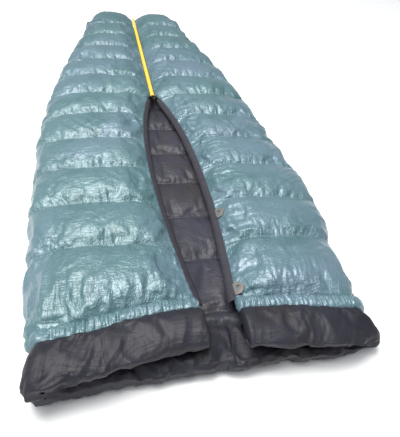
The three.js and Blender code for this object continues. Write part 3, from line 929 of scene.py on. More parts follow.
@dataclass
class Lining:
    """A charcoal lining, quilted by the same seams as the shell behind it: a flap's, or the back's if side is None."""

    plan: Plan
    side: Side | None
    crest: float
    depth: float
    head: float
    columns: int
    rows_each: int
    fold_inset: float = 14 * MM
    edge_rise: float = 50 * MM
    edge_drop: float = 2 * MM
    uneven: float = 1.5 * MM
    pillow: tuple[float, float] = (2.6, 0.6)
    head_pillow: tuple[float, float] = (2.0, 1.0)
    pressure: float = 1.2
    growth: tuple[float, float] = (0.035, 0.09)
    cap: float = 5 * MM
    bending: float = 0.03
    seam_pucker: Creases = Creases(1.9 * MM, 48.0, 12.0, 70)
    slack: Creases = Creases(1.4 * MM, 9.0, 20.0, 75, turn=35.0, patchy=0.9)

    @property
    def name(self) -> str:
        """The piece's name."""
        return f"{self.side.word}_flap_lining" if self.side else "back_inner_lining"

    def edges(self, y: float) -> tuple[float, float]:
        """The lowest and highest X of the lining at Y."""
        outer = self.plan.fold_x(y) - self.fold_inset
        if self.side is None:
            return -outer, outer
        inner = self.plan.flap_edge(self.side, y)
        return (inner, outer) if self.side is Side.RIGHT else (-outer, inner)

    def height(self, x: Array, y: float, share: float) -> Array:
        """Height of the lining across one row: the back's crests stand up, and a flap's hang down.

        Args:
            x: places across the row.
            y: the row's place along the quilt.
            share: 0 in a seam, 1 on a crest.

        Returns:
            The height at each place.
        """
        if self.side is None:
            return np.full_like(x, self.crest - self.depth * (1 - share))
        level = self.crest + self.depth * (1 - share)
        inner = self.plan.flap_edge(self.side, y)
        rise = 1 - (1 - np.clip(self.side.value * (x - inner) / self.edge_rise, 0, 1)) ** 2
        start = self.plan.edge_z - self.edge_drop
        return start + (level - start) * rise

    def build(self, bench: ClothBench) -> bpy.types.Object:
        """Makes the sheet and lays it on the bench.

        Args:
            bench: where the cloth is simulated.

        Returns:
            The piece, still to be simulated.
        """
        plan = self.plan
        lead = round((plan.body_head - self.head) / plan.pitch * self.rows_each)
        count = plan.channels * self.rows_each
        rows, seam_row = [], []
        for i in range(-lead, count + 1):
            y = plan.body_head + (plan.body_foot - plan.body_head) * i / count
            share = float(bulge(np.array((i % self.rows_each) / self.rows_each), *self.pillow))
            if i < 0:
                share = float(bulge(np.array(min(1.0, -i / lead)), *self.head_pillow))
            x = np.linspace(*self.edges(y), self.columns)
            rows.append(np.c_[x, np.full_like(x, y), self.height(x, y, share)])
            seam_row.append(i % self.rows_each == 0 or i == -lead)
        points = np.array(rows)
        points[..., 2] += self.uneven * wander(points, 14.0, len(self.name)) * 1
        piece = grid_piece(self.name, points)
        if self.side:
            piece.data.flip_normals()
        row, column = np.divmod(np.arange(points.shape[0] * self.columns), self.columns)
        sewn = np.array(seam_row)[row]
        pins = sewn | (column == 0) | (column == self.columns - 1)
        phase = (row - lead) % self.rows_each / self.rows_each
        near_seam = 1 - ease(0.0, 0.4, phase)
        bench.lay(piece, pins.astype(float), near_seam, self.pressure, self.growth, self.cap, self.bending)
        return piece

    def attach(self, piece: bpy.types.Object) -> None:
        """Creases the lining, and lets it ride on its body."""
        places = read_points(piece)
        phase = (places[:, 1] - self.plan.body_head) / self.plan.pitch % 1.0
        above_seam = (1 - ease(0.05, 0.45, phase)) * ease(0, 0.03, phase)
        crinkle(piece, len(self.name), (self.seam_pucker, above_seam), (self.slack, 0.7))
        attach(piece, self.side.flap if self.side else "back")
        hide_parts(f"{self.side.word}_lining" if self.side else "back_lining")


@dataclass
class InnerTurn:
    """The strip of lining inside the fold, from the back's lining round to the flap's."""

    plan: Plan
    side: Side
    reach: float = 10 * MM
    inset: float = 16 * MM
    lap: float = 22 * MM
    overlap: float = 1.5 * MM
    uneven: float = 2 * MM
    rows: int = 160
    columns: int = 12
    bend: tuple[float, float] = (51 * MM, 61 * MM)

    def build(self) -> bpy.types.Object:
        """Makes the strip and bakes its transform."""
        plan = self.plan
        low, high = plan.back_top - self.overlap, plan.flap_floor + self.overlap
        angle = np.linspace(-math.pi / 2, math.pi / 2, self.columns)
        rows = []
        for y in np.linspace(plan.tunnel_head, plan.body_foot, self.rows):
            fold = plan.fold_x(y) - self.inset
            x = np.r_[fold - self.lap, fold + (self.reach + self.lap) * np.cos(angle), fold - self.lap]
            z = (low + high) / 2 + (high - low) / 2 * np.r_[-1, np.sin(angle), 1]
            rows.append(np.c_[self.side.value * x, np.full_like(x, y), z])
        points = np.array(rows)
        points[..., 0] += self.uneven * wander(points, 20.0, 21) * self.side.value
        piece = grid_piece(f"{self.side.word}_inner_turn", points)
        if self.side is Side.RIGHT:
            piece.data.flip_normals()
        refine(piece)
        bend_over_fold(piece, self.side, *self.bend)
        return piece


# ---------------------------------------------------------------- tubes that wrap the fold


@dataclass
class Wrap:
    """The middle line of a tube that runs from the opening over the flap, round the fold and under the back."""

    plan: Plan
    side: Side
    y: float
    inner: float
    top_z: float
    low_z: float
    reach: float
    back_end: float
    step: float
    square: float = 1.0
    turn_depth: float = 20 * MM
    turn_corners: int = 40

    def line(self) -> tuple[Array, Array, Array]:
        """Walks the line in even steps.

        Returns:
            X away from the middle with Z, outward normals, and how far round the fold each point is (0 to 1).
        """
        fold = self.plan.fold_x(self.y)
        turn = fold - self.turn_depth
        angle = np.linspace(math.pi / 2, -math.pi / 2, self.turn_corners)
        middle, half = (self.top_z + self.low_z) / 2, (self.top_z - self.low_z) / 2
        bend = np.cos(angle).clip(0) ** self.square
        rise = np.sign(angle) * np.abs(np.sin(angle)) ** self.square
        x = np.r_[self.side.value * self.inner, turn + (fold + self.reach - turn) * bend, self.back_end]
        z = np.r_[self.top_z, middle + half * rise, self.low_z]
        path = np.stack([x, z], axis=1)
        length = np.linalg.norm(np.diff(path, axis=0), axis=1).sum()
        path = evenly(path, int(length / self.step) + 1)
        ahead = np.gradient(path, axis=0)
        ahead /= np.linalg.norm(ahead, axis=1, keepdims=True)
        normal = np.stack([-ahead[:, 1], ahead[:, 0]], axis=1)
        round_fold = np.clip((self.top_z - path[:, 1]) / (self.top_z - self.low_z), 0, 1)
        return path, normal, round_fold


def ends_in(count: int, step: float, reach: float) -> Array:
    """How near each ring of a tube is to the tube's nearer end: 0 at the end, and 1 from a distance on.

    Args:
        count: number of rings.
        step: distance from ring to ring.
        reach: the distance.

    Returns:
        A number for each ring.
    """
    length = np.arange(count) * step
    return np.clip(np.minimum(length, length[-1] - length) / reach, 0.0, 1)


@dataclass
class Collar:
    """The padded charcoal collar of one side: over the flap, round the fold, and under it on the back."""

    plan: Plan
    side: Side
    loft: float = 42 * MM
    back_loft: float = 54 * MM
    fold_loft: float = 60 * MM
    flap_head: float = -0.988
    back_head: float = -1.003
    head_slant: float = 0.03
    corner_out: float = 2 * MM
    seam_inset: float = 3 * MM
    around: int = 48
    step: float = 5.5 * MM
    back_end: float = 0.034
    overlap: float = -14 * MM
    fold_reach: float = -13 * MM
    droop: float = 6 * MM
    square: float = 0.62
    section_powers: tuple[float, float] = (0.55, 0.5)
    thin_at_seam: float = 0.25
    thin_at_head: float = 0.22
    end_reach: float = 11 * MM
    pinch: float = 0.66
    pinch_z: float = 28 * MM
    pinch_out: tuple[float, float] = (22 * MM, 12 * MM)
    pinch_reach: float = 150 * MM
    sag: float = 2 * MM
    pressure: float = 0.6
    growth: tuple[float, float] = (0.06, 0.14)
    cap: float = 6 * MM
    bending: float = 0.05
    seam_gathers: Creases = Creases(2.2 * MM, 55.0, 10.0, 90)
    slack: Creases = Creases(5.0 * MM, 5.0, 19.0, 92, turn=38.0, keen=0.6, patchy=0.8)
    cross_slack: Creases = Creases(3.6 * MM, 7.0, 30.0, 94, turn=-50.0, keen=0.65, patchy=0.9)

    def profile(self) -> tuple[Array, Array]:
        """The tube's section: how far each corner is to the foot, and how far out, from -1 to 1."""
        turn = np.linspace(0, 2 * math.pi, self.around + 1)
        across, lift = np.cos(turn), np.sin(turn)
        to_foot = np.sign(across) * np.abs(across) ** self.section_powers[0]
        out = np.sign(lift) * np.abs(lift) ** self.section_powers[1]
        seam_end = 1 - self.thin_at_seam * ease(0.3, 1.0, to_foot)
        return to_foot, out * seam_end * (1 - self.thin_at_head * ease(-0.45, -1.0, to_foot))

    def points(self) -> tuple[Array, Array]:
        """Places of the tube's rings, and how far round the fold each ring is."""
        plan = self.plan
        sign = self.side.value
        wrap = Wrap(
            plan, self.side, y=plan.tunnel_head, inner=plan.collar_inner[self.side],
            top_z=plan.flap_floor + self.loft / 2, low_z=self.back_loft / 2 + 0.5 * MM, reach=self.fold_reach,
            back_end=sign * self.back_end + self.overlap, step=self.step, square=self.square,
        )
        path, normal, around_fold = wrap.line()
        ended = ends_in(len(path), self.step, self.end_reach)
        fullness = np.maximum(np.sqrt(1 - (1 - ended) ** 2.6), 0.002)
        fold = plan.fold_x(plan.head)
        near_fold = ease(fold - 75 * MM, fold - 25 * MM, path[:, 0])
        inward = (self.loft * (1 - near_fold) + self.fold_loft * near_fold) / 2
        outward = (self.loft + (self.back_loft - self.loft) * around_fold) / 2
        back_head = self.back_head + self.head_slant * sign * path[:, 0]
        head = self.flap_head + (back_head - self.flap_head) * ease(0.2, 0.8, around_fold)
        head -= self.corner_out * near_fold
        rear = plan.tunnel_head + self.seam_inset
        to_foot, out = self.profile()
        front = ease(0.3, -1.0, to_foot)
        rings = []
        for spot, way, inner, outer, full, edge, turned in zip(
            path, normal, inward, outward, fullness, head, around_fold
        ):
            middle, reach = (edge + rear) / 2, (rear - edge) / 2
            offset = np.where(out > 0, outer, inner) * full * out
            y = middle + reach * to_foot * (0.6 + 0.4 * full)
            sink = self.droop * front * (1 - ease(0.0, 0.3, turned)) * (out > -0.2)
            rings.append(np.c_[sign * (spot[0] + way[0] * offset), y, spot[1] + way[1] * offset - sink])
        points = np.array(rings)
        if self.side is Side.RIGHT:
            self.pinch_corner(points, fold, rear)
        points = plan.slant(points)
        points[:, -1] = points[:, 0]
        return points, around_fold

    def pinch_corner(self, points: Array, fold: float, rear: float) -> None:
        """Flattens the outer corner of the head edge, and draws it out to a point.

        Args:
            points: the rings' places, which are moved.
            fold: distance from the middle to the fold.
            rear: Y of the tunnel's seam, where the pinch has faded.
        """
        corner = ease(fold - self.pinch_reach, fold, np.abs(points[..., 0]))
        towards_head = ease(rear, self.flap_head, points[..., 1])
        flat = self.pinch * corner * (0.25 + 0.75 * towards_head)
        points[..., 2] += (self.pinch_z - points[..., 2]) * flat
        points[..., :2] += np.array(self.pinch_out) * (corner**2 * towards_head)[..., None]

    def build(self, bench: ClothBench) -> bpy.types.Object:
        """Makes the tube and lays it on the bench.

        Args:
            bench: where the cloth is simulated.

        Returns:
            The piece, still to be simulated.
        """
        points, turned = self.points()
        points[..., 2] += self.sag * wander(points, 11.0, 31 + self.side.value)
        points[:, -1] = points[:, 0]
        piece = grid_piece(f"{self.side.word}_collar", points, turned=turned)
        close_tube(piece)
        places = read_points(piece)
        depth = self.depth(places)
        ground = 1 - ease(3 * MM, 9 * MM, places[:, 2])
        pins = np.maximum(ease(0.95, 0.99, depth), 0.9 * ground)
        gathers = ease(0.2, 0.9, depth)
        bench.lay(piece, pins, gathers, self.pressure, self.growth, self.cap, self.bending)
        return piece

    def depth(self, places: Array) -> Array:
        """How far each place is from the head edge (0) towards the tunnel's seam (1)."""
        seam = places.copy()
        seam[:, 1] = self.plan.tunnel_head
        rear = self.plan.slant(seam)[:, 1] + self.seam_inset
        return 1 - (rear - places[:, 1]) / (self.plan.tunnel_head - self.flap_head)

    def attach(self, piece: bpy.types.Object) -> None:
        """Creases the collar, keeps it off the ground and under its greatest height, and bakes its transform."""
        places = read_points(piece)
        near_seam = ease(0.5, 0.95, self.depth(places))
        crinkle(
            piece, 5 * self.side.value, (self.seam_gathers, near_seam), (self.slack, 1 - 0.5 * near_seam),
            (self.cross_slack, 1 - 0.3 * near_seam),
        )
        keep_between(piece, self.plan.top + self.loft)
        bend_by_row(piece, self.side)
        word = self.side.word
        nodes = [f"{word}_collar_cover", f"{word}_collar_down"]
        if self.side is Side.LEFT:
            nodes += ["back_collar_cover", "back_collar_down"]
        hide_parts(*nodes)


@dataclass
class GatheredTube:
    """A narrow sewn tube, drawn up on its cord into small crinkles, that wraps the fold."""

    plan: Plan
    side: Side
    name: str
    head: float
    foot: float
    inner: float
    height: float
    reach: float
    top_z: float
    back_z: float
    crinkle: float
    wave: float
    around: int = 30
    step: float = 2.2 * MM
    back_end: float = 2 * MM
    end_reach: float = 9 * MM
    section_powers: tuple[float, float] = (0.75, 0.85)
    ripples_across: float = 26.0
    bend: tuple[float, float] = (40 * MM, 64 * MM)

    @classmethod
    def tunnel(cls, plan: Plan, side: Side) -> GatheredTube:
        """The drawcord tunnel between the collar and the first row."""
        return cls(
            plan, side, f"{side.word}_gathered_tunnel", head=plan.tunnel_head - 2 * MM,
            foot=plan.body_head + 5 * MM, inner=plan.tunnel_inner[side], height=25 * MM, reach=3 * MM,
            top_z=plan.edge_z + 2 * MM, back_z=19 * MM, crinkle=3.6 * MM, wave=7 * MM,
        )

    @classmethod
    def hem(cls, plan: Plan, side: Side) -> GatheredTube:
        """The elastic hem at the foot."""
        return cls(
            plan, side, f"{side.word}_gathered_hem", head=plan.body_foot - 3 * MM, foot=plan.foot,
            inner=side.value * 9 * MM, height=14 * MM, reach=-16 * MM, top_z=plan.edge_z - 8 * MM,
            back_z=18 * MM, crinkle=1.8 * MM, wave=8 * MM,
        )

    def build(self) -> bpy.types.Object:
        """Makes the tube, gathers and all."""
        plan, sign = self.plan, self.side.value
        middle, half = (self.head + self.foot) / 2, (self.foot - self.head) / 2
        wrap = Wrap(
            plan, self.side, y=middle, inner=self.inner, top_z=self.top_z, low_z=self.back_z, reach=self.reach,
            back_end=self.back_end, step=self.step,
        )
        path, normal, _ = wrap.line()
        turn = np.linspace(0, 2 * math.pi, self.around + 1)
        across = np.sign(np.cos(turn)) * np.abs(np.cos(turn)) ** self.section_powers[0]
        out = np.sign(np.sin(turn)) * np.abs(np.sin(turn)) ** self.section_powers[1]
        fullness = np.sqrt(1 - (1 - ends_in(len(path), self.step, self.end_reach)) ** 2)
        rings = []
        for spot, way, full in zip(path, normal, np.maximum(fullness, 0.01)):
            offset = self.height / 2 * full * out
            y = middle + half * across * (0.5 + 0.5 * full)
            rings.append(np.c_[sign * (spot[0] + way[0] * offset), y, spot[1] + way[1] * offset])
        points = np.array(rings)
        ripple, fine = self.gathers(points, out)
        swell = self.crinkle * (ripple - 0.4 + 0.8 * fine) * fullness[:, None]
        points[..., 0] += sign * normal[:, None, 0] * swell * np.abs(out)
        points[..., 2] += normal[:, None, 1] * swell * np.abs(out)
        points[..., 1] += 0.5 * self.crinkle * ripple
        points = plan.slant(points)
        points[:, -1] = points[:, 0]
        piece = grid_piece(self.name, points)
        close_tube(piece)
        refine(piece)
        return piece

    def gathers(self, points: Array, out: Array) -> tuple[Array, Array]:
        """Sharp ripples along the tube, and slower waves under them.

        Args:
            points: the rings' places.
            out: for each corner of a ring, which face of the tube it is on, by its sign.

        Returns:
            The ripples and the waves, rings by corners.
        """
        seed = self.side.value
        along = np.repeat((np.arange(len(points)) * self.step)[:, None], self.around + 1, axis=1)
        face = np.sign(out)[None, :] + 0 * along
        cloth = np.stack([along / self.wave, points[..., 1] * self.ripples_across, face], axis=2)
        ripple = 1 - 2.2 * np.abs(wander(cloth, 1.0, 41 + seed))
        ripple += 0.5 - 1.1 * np.abs(wander(cloth * np.array([2.1, 1.7, 1.0]), 1.0, 47 + seed))
        return ripple, wander(cloth * np.array([0.35, 0.5, 1.0]), 1.0, 53 + seed)

    def attach(self, piece: bpy.types.Object, slot: str, *nodes: str) -> None:
        """Bakes the tube's transform and hides the frame nodes that it stands for.

        Args:
            piece: the finished tube.
            slot: not used.
            nodes: the frame nodes that it stands for.
        """
        bend_over_fold(piece, self.side, *self.bend)
        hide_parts(*nodes)


# ---------------------------------------------------------------- tapes


@dataclass
class EdgeBinding:
    """The flat charcoal tape folded over a flap's edge along the opening."""

    plan: Plan
    side: Side
    thick: float = 3.6 * MM
    edge_round: float = 1.1 * MM
    lap: float = 2.5 * MM
    roll: float = math.radians(82)
    rise: float = 1 * MM
    outer_rise: float = 2 * MM
    uneven: float = 1.2 * MM
    head_lap: float = 4 * MM
    step: float = 4 * MM
    columns: int = 12

    def build(self) -> bpy.types.Object:
        """Makes the tape: a strip with a rounded inner edge, given its thickness by a modifier."""
        plan, side = self.plan, self.side
        count = int((plan.binding_foot - plan.body_head) / self.step)
        share = np.linspace(0, 1, self.columns)
        angle = self.roll * (1 - share)
        rows = []
        for y in np.linspace(plan.body_head - self.head_lap, plan.binding_foot, count):
            inner, outer = plan.opening_edge(side, y), plan.flap_edge(side, y)
            radius = abs(outer - inner) / self.roll
            x = outer + side.value * (self.lap * share - radius * np.sin(angle))
            z = plan.edge_z + self.rise - radius * (1 - np.cos(angle)) + self.outer_rise * ease(0.7, 1.0, share)
            rows.append(np.c_[x, np.full_like(x, y), z])
        points = np.array(rows)
        points[..., 2] += self.uneven * wander(points, 18.0, 61 + side.value)
        points[..., 0] += self.uneven * wander(points * np.array([0, 1, 0]), 9.0, 67 + side.value)
        piece = grid_piece(f"{side.word}_edge_tape", points)
        if side is Side.LEFT:
            piece.data.flip_normals()
        wall = piece.modifiers.new("Wall", "SOLIDIFY")
        wall.thickness, wall.offset = self.thick, 0.0
        soften = piece.modifiers.new("Soften", "BEVEL")
        soften.width, soften.segments = self.edge_round, 2
        apply_all(piece)
        refine(piece)
        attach(piece, side.flap)
        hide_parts(f"{side.word}_edge_binding")
        return piece


# ---------------------------------------------------------------- hard pieces

FACING_UP = 0.9  # a face whose normal's Z is above this looks up


def softened_copy(frame: Frame, node: str, name: str, width: float, segments: int = 2) -> bpy.types.Object:
    """A piece with a frame node's shape, whose edges are rounded.

    Args:
        node: the frame node.
        name: the new piece's name.
        width: how far each edge is cut back.
        segments: steps of the rounding.

    Returns:
        The new piece.
    """
    piece = bpy.data.objects.new(name, frame["nodes"][node].data.copy())
    bpy.context.scene.collection.objects.link(piece)
    piece.data.materials.clear()
    activate(piece)
    bpy.ops.object.mode_set(mode="EDIT")
    bpy.ops.mesh.select_all(action="SELECT")
    bpy.ops.mesh.remove_doubles(threshold=0.01 * MM)
    bpy.ops.mesh.dissolve_limited(angle_limit=math.radians(2))
    bpy.ops.mesh.select_all(action="DESELECT")
    bpy.ops.object.mode_set(mode="OBJECT")
    round_edges(piece, width, segments)
    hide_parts(node)
    return piece


def round_edges(piece: bpy.types.Object, width: float, segments: int = 2) -> None:
    """Rounds a piece's sharp edges and smooths its shading.

    Args:
        piece: the object.
        width: how far each edge is cut back.
        segments: steps of the rounding.
    """
    bevel = piece.modifiers.new("Soften", "BEVEL")
    bevel.width, bevel.segments = width, segments
    bevel.limit_method, bevel.angle_limit = "ANGLE", math.radians(25)
    apply_all(piece)
    bpy.ops.object.shade_smooth_by_angle(angle=math.radians(40))


def inset_top(piece: bpy.types.Object, *steps: tuple[float, float]) -> None:
    """Insets the largest face that looks up, again and again.

    Args:
        piece: the object.
        steps: for each inset, how far in it goes, and how far up.
    """
    facing = [face for face in piece.data.polygons if face.normal.z > FACING_UP]
    largest = max(facing, key=lambda face: face.area).index
    for face in piece.data.polygons:
        face.select = face.index == largest
    activate(piece)
    bpy.ops.object.mode_set(mode="EDIT")
    bpy.ops.mesh.select_mode(type="FACE")
    for inwards, up in steps:
        bpy.ops.mesh.inset(thickness=inwards, depth=up)
    bpy.ops.mesh.select_all(action="DESELECT")
    bpy.ops.object.mode_set(mode="OBJECT")


@dataclass
class Zip:
    """The zip: two woven tapes, two rows of interlocking coil teeth, and the parts that end them."""

    frame: Frame
    tooth_pitch: float = 2.4 * MM
    tooth_size: tuple[float, float, float] = (4.6 * MM, 1.35 * MM, 1.9 * MM)
    tooth_lap: float = 0.5 * MM
    tooth_round: float = 0.42 * MM
    tape_rows: int = 220
    tape_columns: int = 9
    tape_thick: float = 0.7 * MM
    tape_share: float = 0.84
    weave_ridge: float = 0.25 * MM
    cord: tuple[float, float] = (0.5 * MM, 2.2 * MM)
    pull_rim: float = 1.4 * MM
    pull_recess: float = 0.35 * MM

    def tape(self, side: Side) -> bpy.types.Object:
        """Makes one tape, with a raised cord along the teeth."""
        low, high = box_of(f"{side.word}_zip_tape")
        inner, sewn = (low[0], high[0]) if side is Side.RIGHT else (high[0], low[0])
        sewn *= self.tape_share
        x = np.linspace(min(inner, sewn), max(inner, sewn), self.tape_columns)
        tall, wide = self.cord
        z = high[2] - 0.2 * MM + tall * np.exp(-(((x - inner) / wide) ** 2))
        points = np.array(
            [np.c_[x, np.full_like(x, y), z] for y in np.linspace(low[1], high[1], self.tape_rows)]
        )
        points[..., 2] += self.weave_ridge * wander(points, 40.0, 71 + side.value)
        piece = grid_piece(f"{side.word}_zip_cloth", points)
        wall = piece.modifiers.new("Wall", "SOLIDIFY")
        wall.thickness, wall.offset = self.tape_thick, 0.0
        apply_all(piece)
        round_edges(piece, 0.2 * MM)
        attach(piece, side.flap)
        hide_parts(f"{side.word}_zip_tape")
        return piece

    def teeth(self, side: Side) -> bpy.types.Object:
        """Makes one tooth of the coil, then repeats it along the tape."""
        low, high = box_of(f"{side.word}_zip_chain")
        length, width, height = self.tooth_size
        offset = self.tooth_pitch / 2 if side is Side.RIGHT else 0.0
        centre = (side.value * (length / 2 - self.tooth_lap), low[1] + width + offset, (low[2] + high[2]) / 2)
        deselect()
        bpy.ops.mesh.primitive_cube_add(size=1, location=centre)
        piece = bpy.context.object
        piece.name = piece.data.name = f"{side.word}_zip_teeth"
        piece.scale = (length, width, height)
        bpy.ops.object.transform_apply(location=True, rotation=True, scale=True)
        round_edges(piece, self.tooth_round)
        row = piece.modifiers.new("Row", "ARRAY")
        row.use_relative_offset, row.use_constant_offset = False, True
        row.constant_offset_displace = (0, self.tooth_pitch, 0)
        row.count = int((high[1] - low[1]) / self.tooth_pitch) - 1
        apply_all(piece)
        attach(piece, side.flap)
        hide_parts(f"{side.word}_zip_chain")
        return piece

    def fittings(self) -> list[tuple[bpy.types.Object, str]]:
        """Makes the slider, the pull, the pin, the box and the two top tacks, each with its slot's name."""
        made = []
        for node, name, body, slot, width in (
            ("zip_slider", "zip_slider_body", "slider", "black_metal", 0.3 * MM),
            ("zip_pull", "zip_pull_leaf", "pull", "black_metal", 0.25 * MM),
            ("zip_pin", "zip_pin_rod", "left_flap", "yellow_chain", 0.35 * MM),
            ("zip_box", "zip_box_block", "right_flap", "yellow_chain", 0.6 * MM),
            ("left_zip_top_tack", "left_zip_tack", "left_flap", "black_cord", 0.4 * MM),
            ("right_zip_top_tack", "right_zip_tack", "right_flap", "black_cord", 0.4 * MM),
        ):
            piece = softened_copy(self.frame, node, name, width)
            if name == "zip_pull_leaf":
                inset_top(piece, (self.pull_rim, 0), (0.3 * self.pull_rim, -self.pull_recess))
            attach(piece, body)
            made.append((piece, slot))
        return made


@dataclass
class SnapCap:
    """The domed cap of a press fastener at a tunnel's inner end."""

    side: Side
    sides: int = 40
    profile: tuple[tuple[float, float], ...] = (
        (0.16, 0.0), (0.10, -0.22), (0.10, 0.12), (0.18, 0.30), (0.20, 0.12), (0.14, 0.04),
    )

    def build(self) -> bpy.types.Object:
        """Turns a disc into a cap with a rolled rim, a groove and a low dome."""
        low, high = box_of(f"{self.side.word}_snap_cap")
        radius, height = (high[0] - low[0]) / 2, high[2] - low[2]
        middle = (low + high) / 2
        deselect()
        bpy.ops.mesh.primitive_cylinder_add(
            vertices=self.sides, radius=radius, depth=height * 0.5,
            location=(middle[0], middle[1], low[2] + height * 0.25),
        )
        piece = bpy.context.object
        piece.name = piece.data.name = f"{self.side.word}_snap_dome"
        bpy.ops.object.transform_apply(location=True, rotation=True, scale=True)
        inset_top(piece, *((radius * share, height * lift) for share, lift in self.profile))
        round_edges(piece, 0.25 * MM)
        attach(piece, self.side.flap)
        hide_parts(f"{self.side.word}_snap_cap")
        return piece


@dataclass
class PadTab:
    """A five-sided plastic tab on the right flap, and the cloth loop that holds it."""

    frame: Frame
    node: str
    body: str
    loop_width: float = 20 * MM
    loop_thick: float = 1.1 * MM
    loop_reach: tuple[float, float] = (-5 * MM, 7 * MM)
    loop_drop: float = 2.6 * MM
    loop_arch: float = 1.8 * MM
    loop_slope: float = 0.6 * MM

    def plate(self) -> bpy.types.Object:
        """Makes the plate with rounded edges."""
        piece = softened_copy(self.frame, self.node, f"{self.node}_plate", 0.4 * MM, 3)
        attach(piece, self.body)
        return piece

    def loop(self) -> bpy.types.Object:
        """Makes the loop: a strip from the binding that runs under the plate's straight edge."""
        low, high = box_of(self.node)
        middle = (low[1] + high[1]) / 2
        share = np.linspace(0, 1, 10)
        x = np.linspace(low[0] + self.loop_reach[0], low[0] + self.loop_reach[1], len(share))
        z = low[2] - self.loop_drop + self.loop_arch * np.sin(np.pi * share * 0.6) + self.loop_slope * share
        rows = [
            np.c_[x, np.full_like(x, middle + self.loop_width * (t - 0.5)), z] for t in np.linspace(0, 1, 8)
        ]
        piece = grid_piece(f"{self.node}_loop", np.array(rows))
        wall = piece.modifiers.new("Wall", "SOLIDIFY")
        wall.thickness, wall.offset = self.loop_thick, 0.0
        apply_all(piece)
        round_edges(piece, 0.3 * MM)
        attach(piece, "right_flap")
        return piece


# ---------------------------------------------------------------- finishes

MIX_FIRST, MIX_SECOND = 6, 7  # the Mix node's two colour inputs
MIX_COLOUR = 2  # its colour output


class Signal:
    """An output of a shader node, with arithmetic that adds Math nodes."""

    def __init__(self, shader: Shader, socket: bpy.types.NodeSocket) -> None:
        """Wraps a socket of the given shader."""
        self.shader = shader
        self.socket = socket

    def __add__(self, other: Signal | float) -> Signal:
        """self + other."""
        return self.shader.math("ADD", self, other)

    def __radd__(self, other: float) -> Signal:
        """other + self."""
        return self.shader.math("ADD", other, self)

    def __sub__(self, other: Signal | float) -> Signal:
        """self - other."""
        return self.shader.math("SUBTRACT", self, other)

    def __rsub__(self, other: float) -> Signal:
        """other - self."""
        return self.shader.math("SUBTRACT", other, self)

    def __mul__(self, other: Signal | float) -> Signal:
        """self * other."""
        return self.shader.math("MULTIPLY", self, other)

    def __rmul__(self, other: float) -> Signal:
        """other * self."""
        return self.shader.math("MULTIPLY", other, self)

    def __truediv__(self, other: Signal | float) -> Signal:
        """self / other."""
        return self.shader.math("DIVIDE", self, other)

    def __pow__(self, other: Signal | float) -> Signal:
        """self to the power of other."""
        return self.shader.math("POWER", self, other)

    def within(self, low: float, high: float) -> Signal:
        """Stretches low..high to 0..1 and holds it there."""
        return self.shader.node(
            "ShaderNodeMapRange", {"clamp": True},
            {"Value": self, "From Min": low, "From Max": high, "To Min": 0.0, "To Max": 1.0},
        )


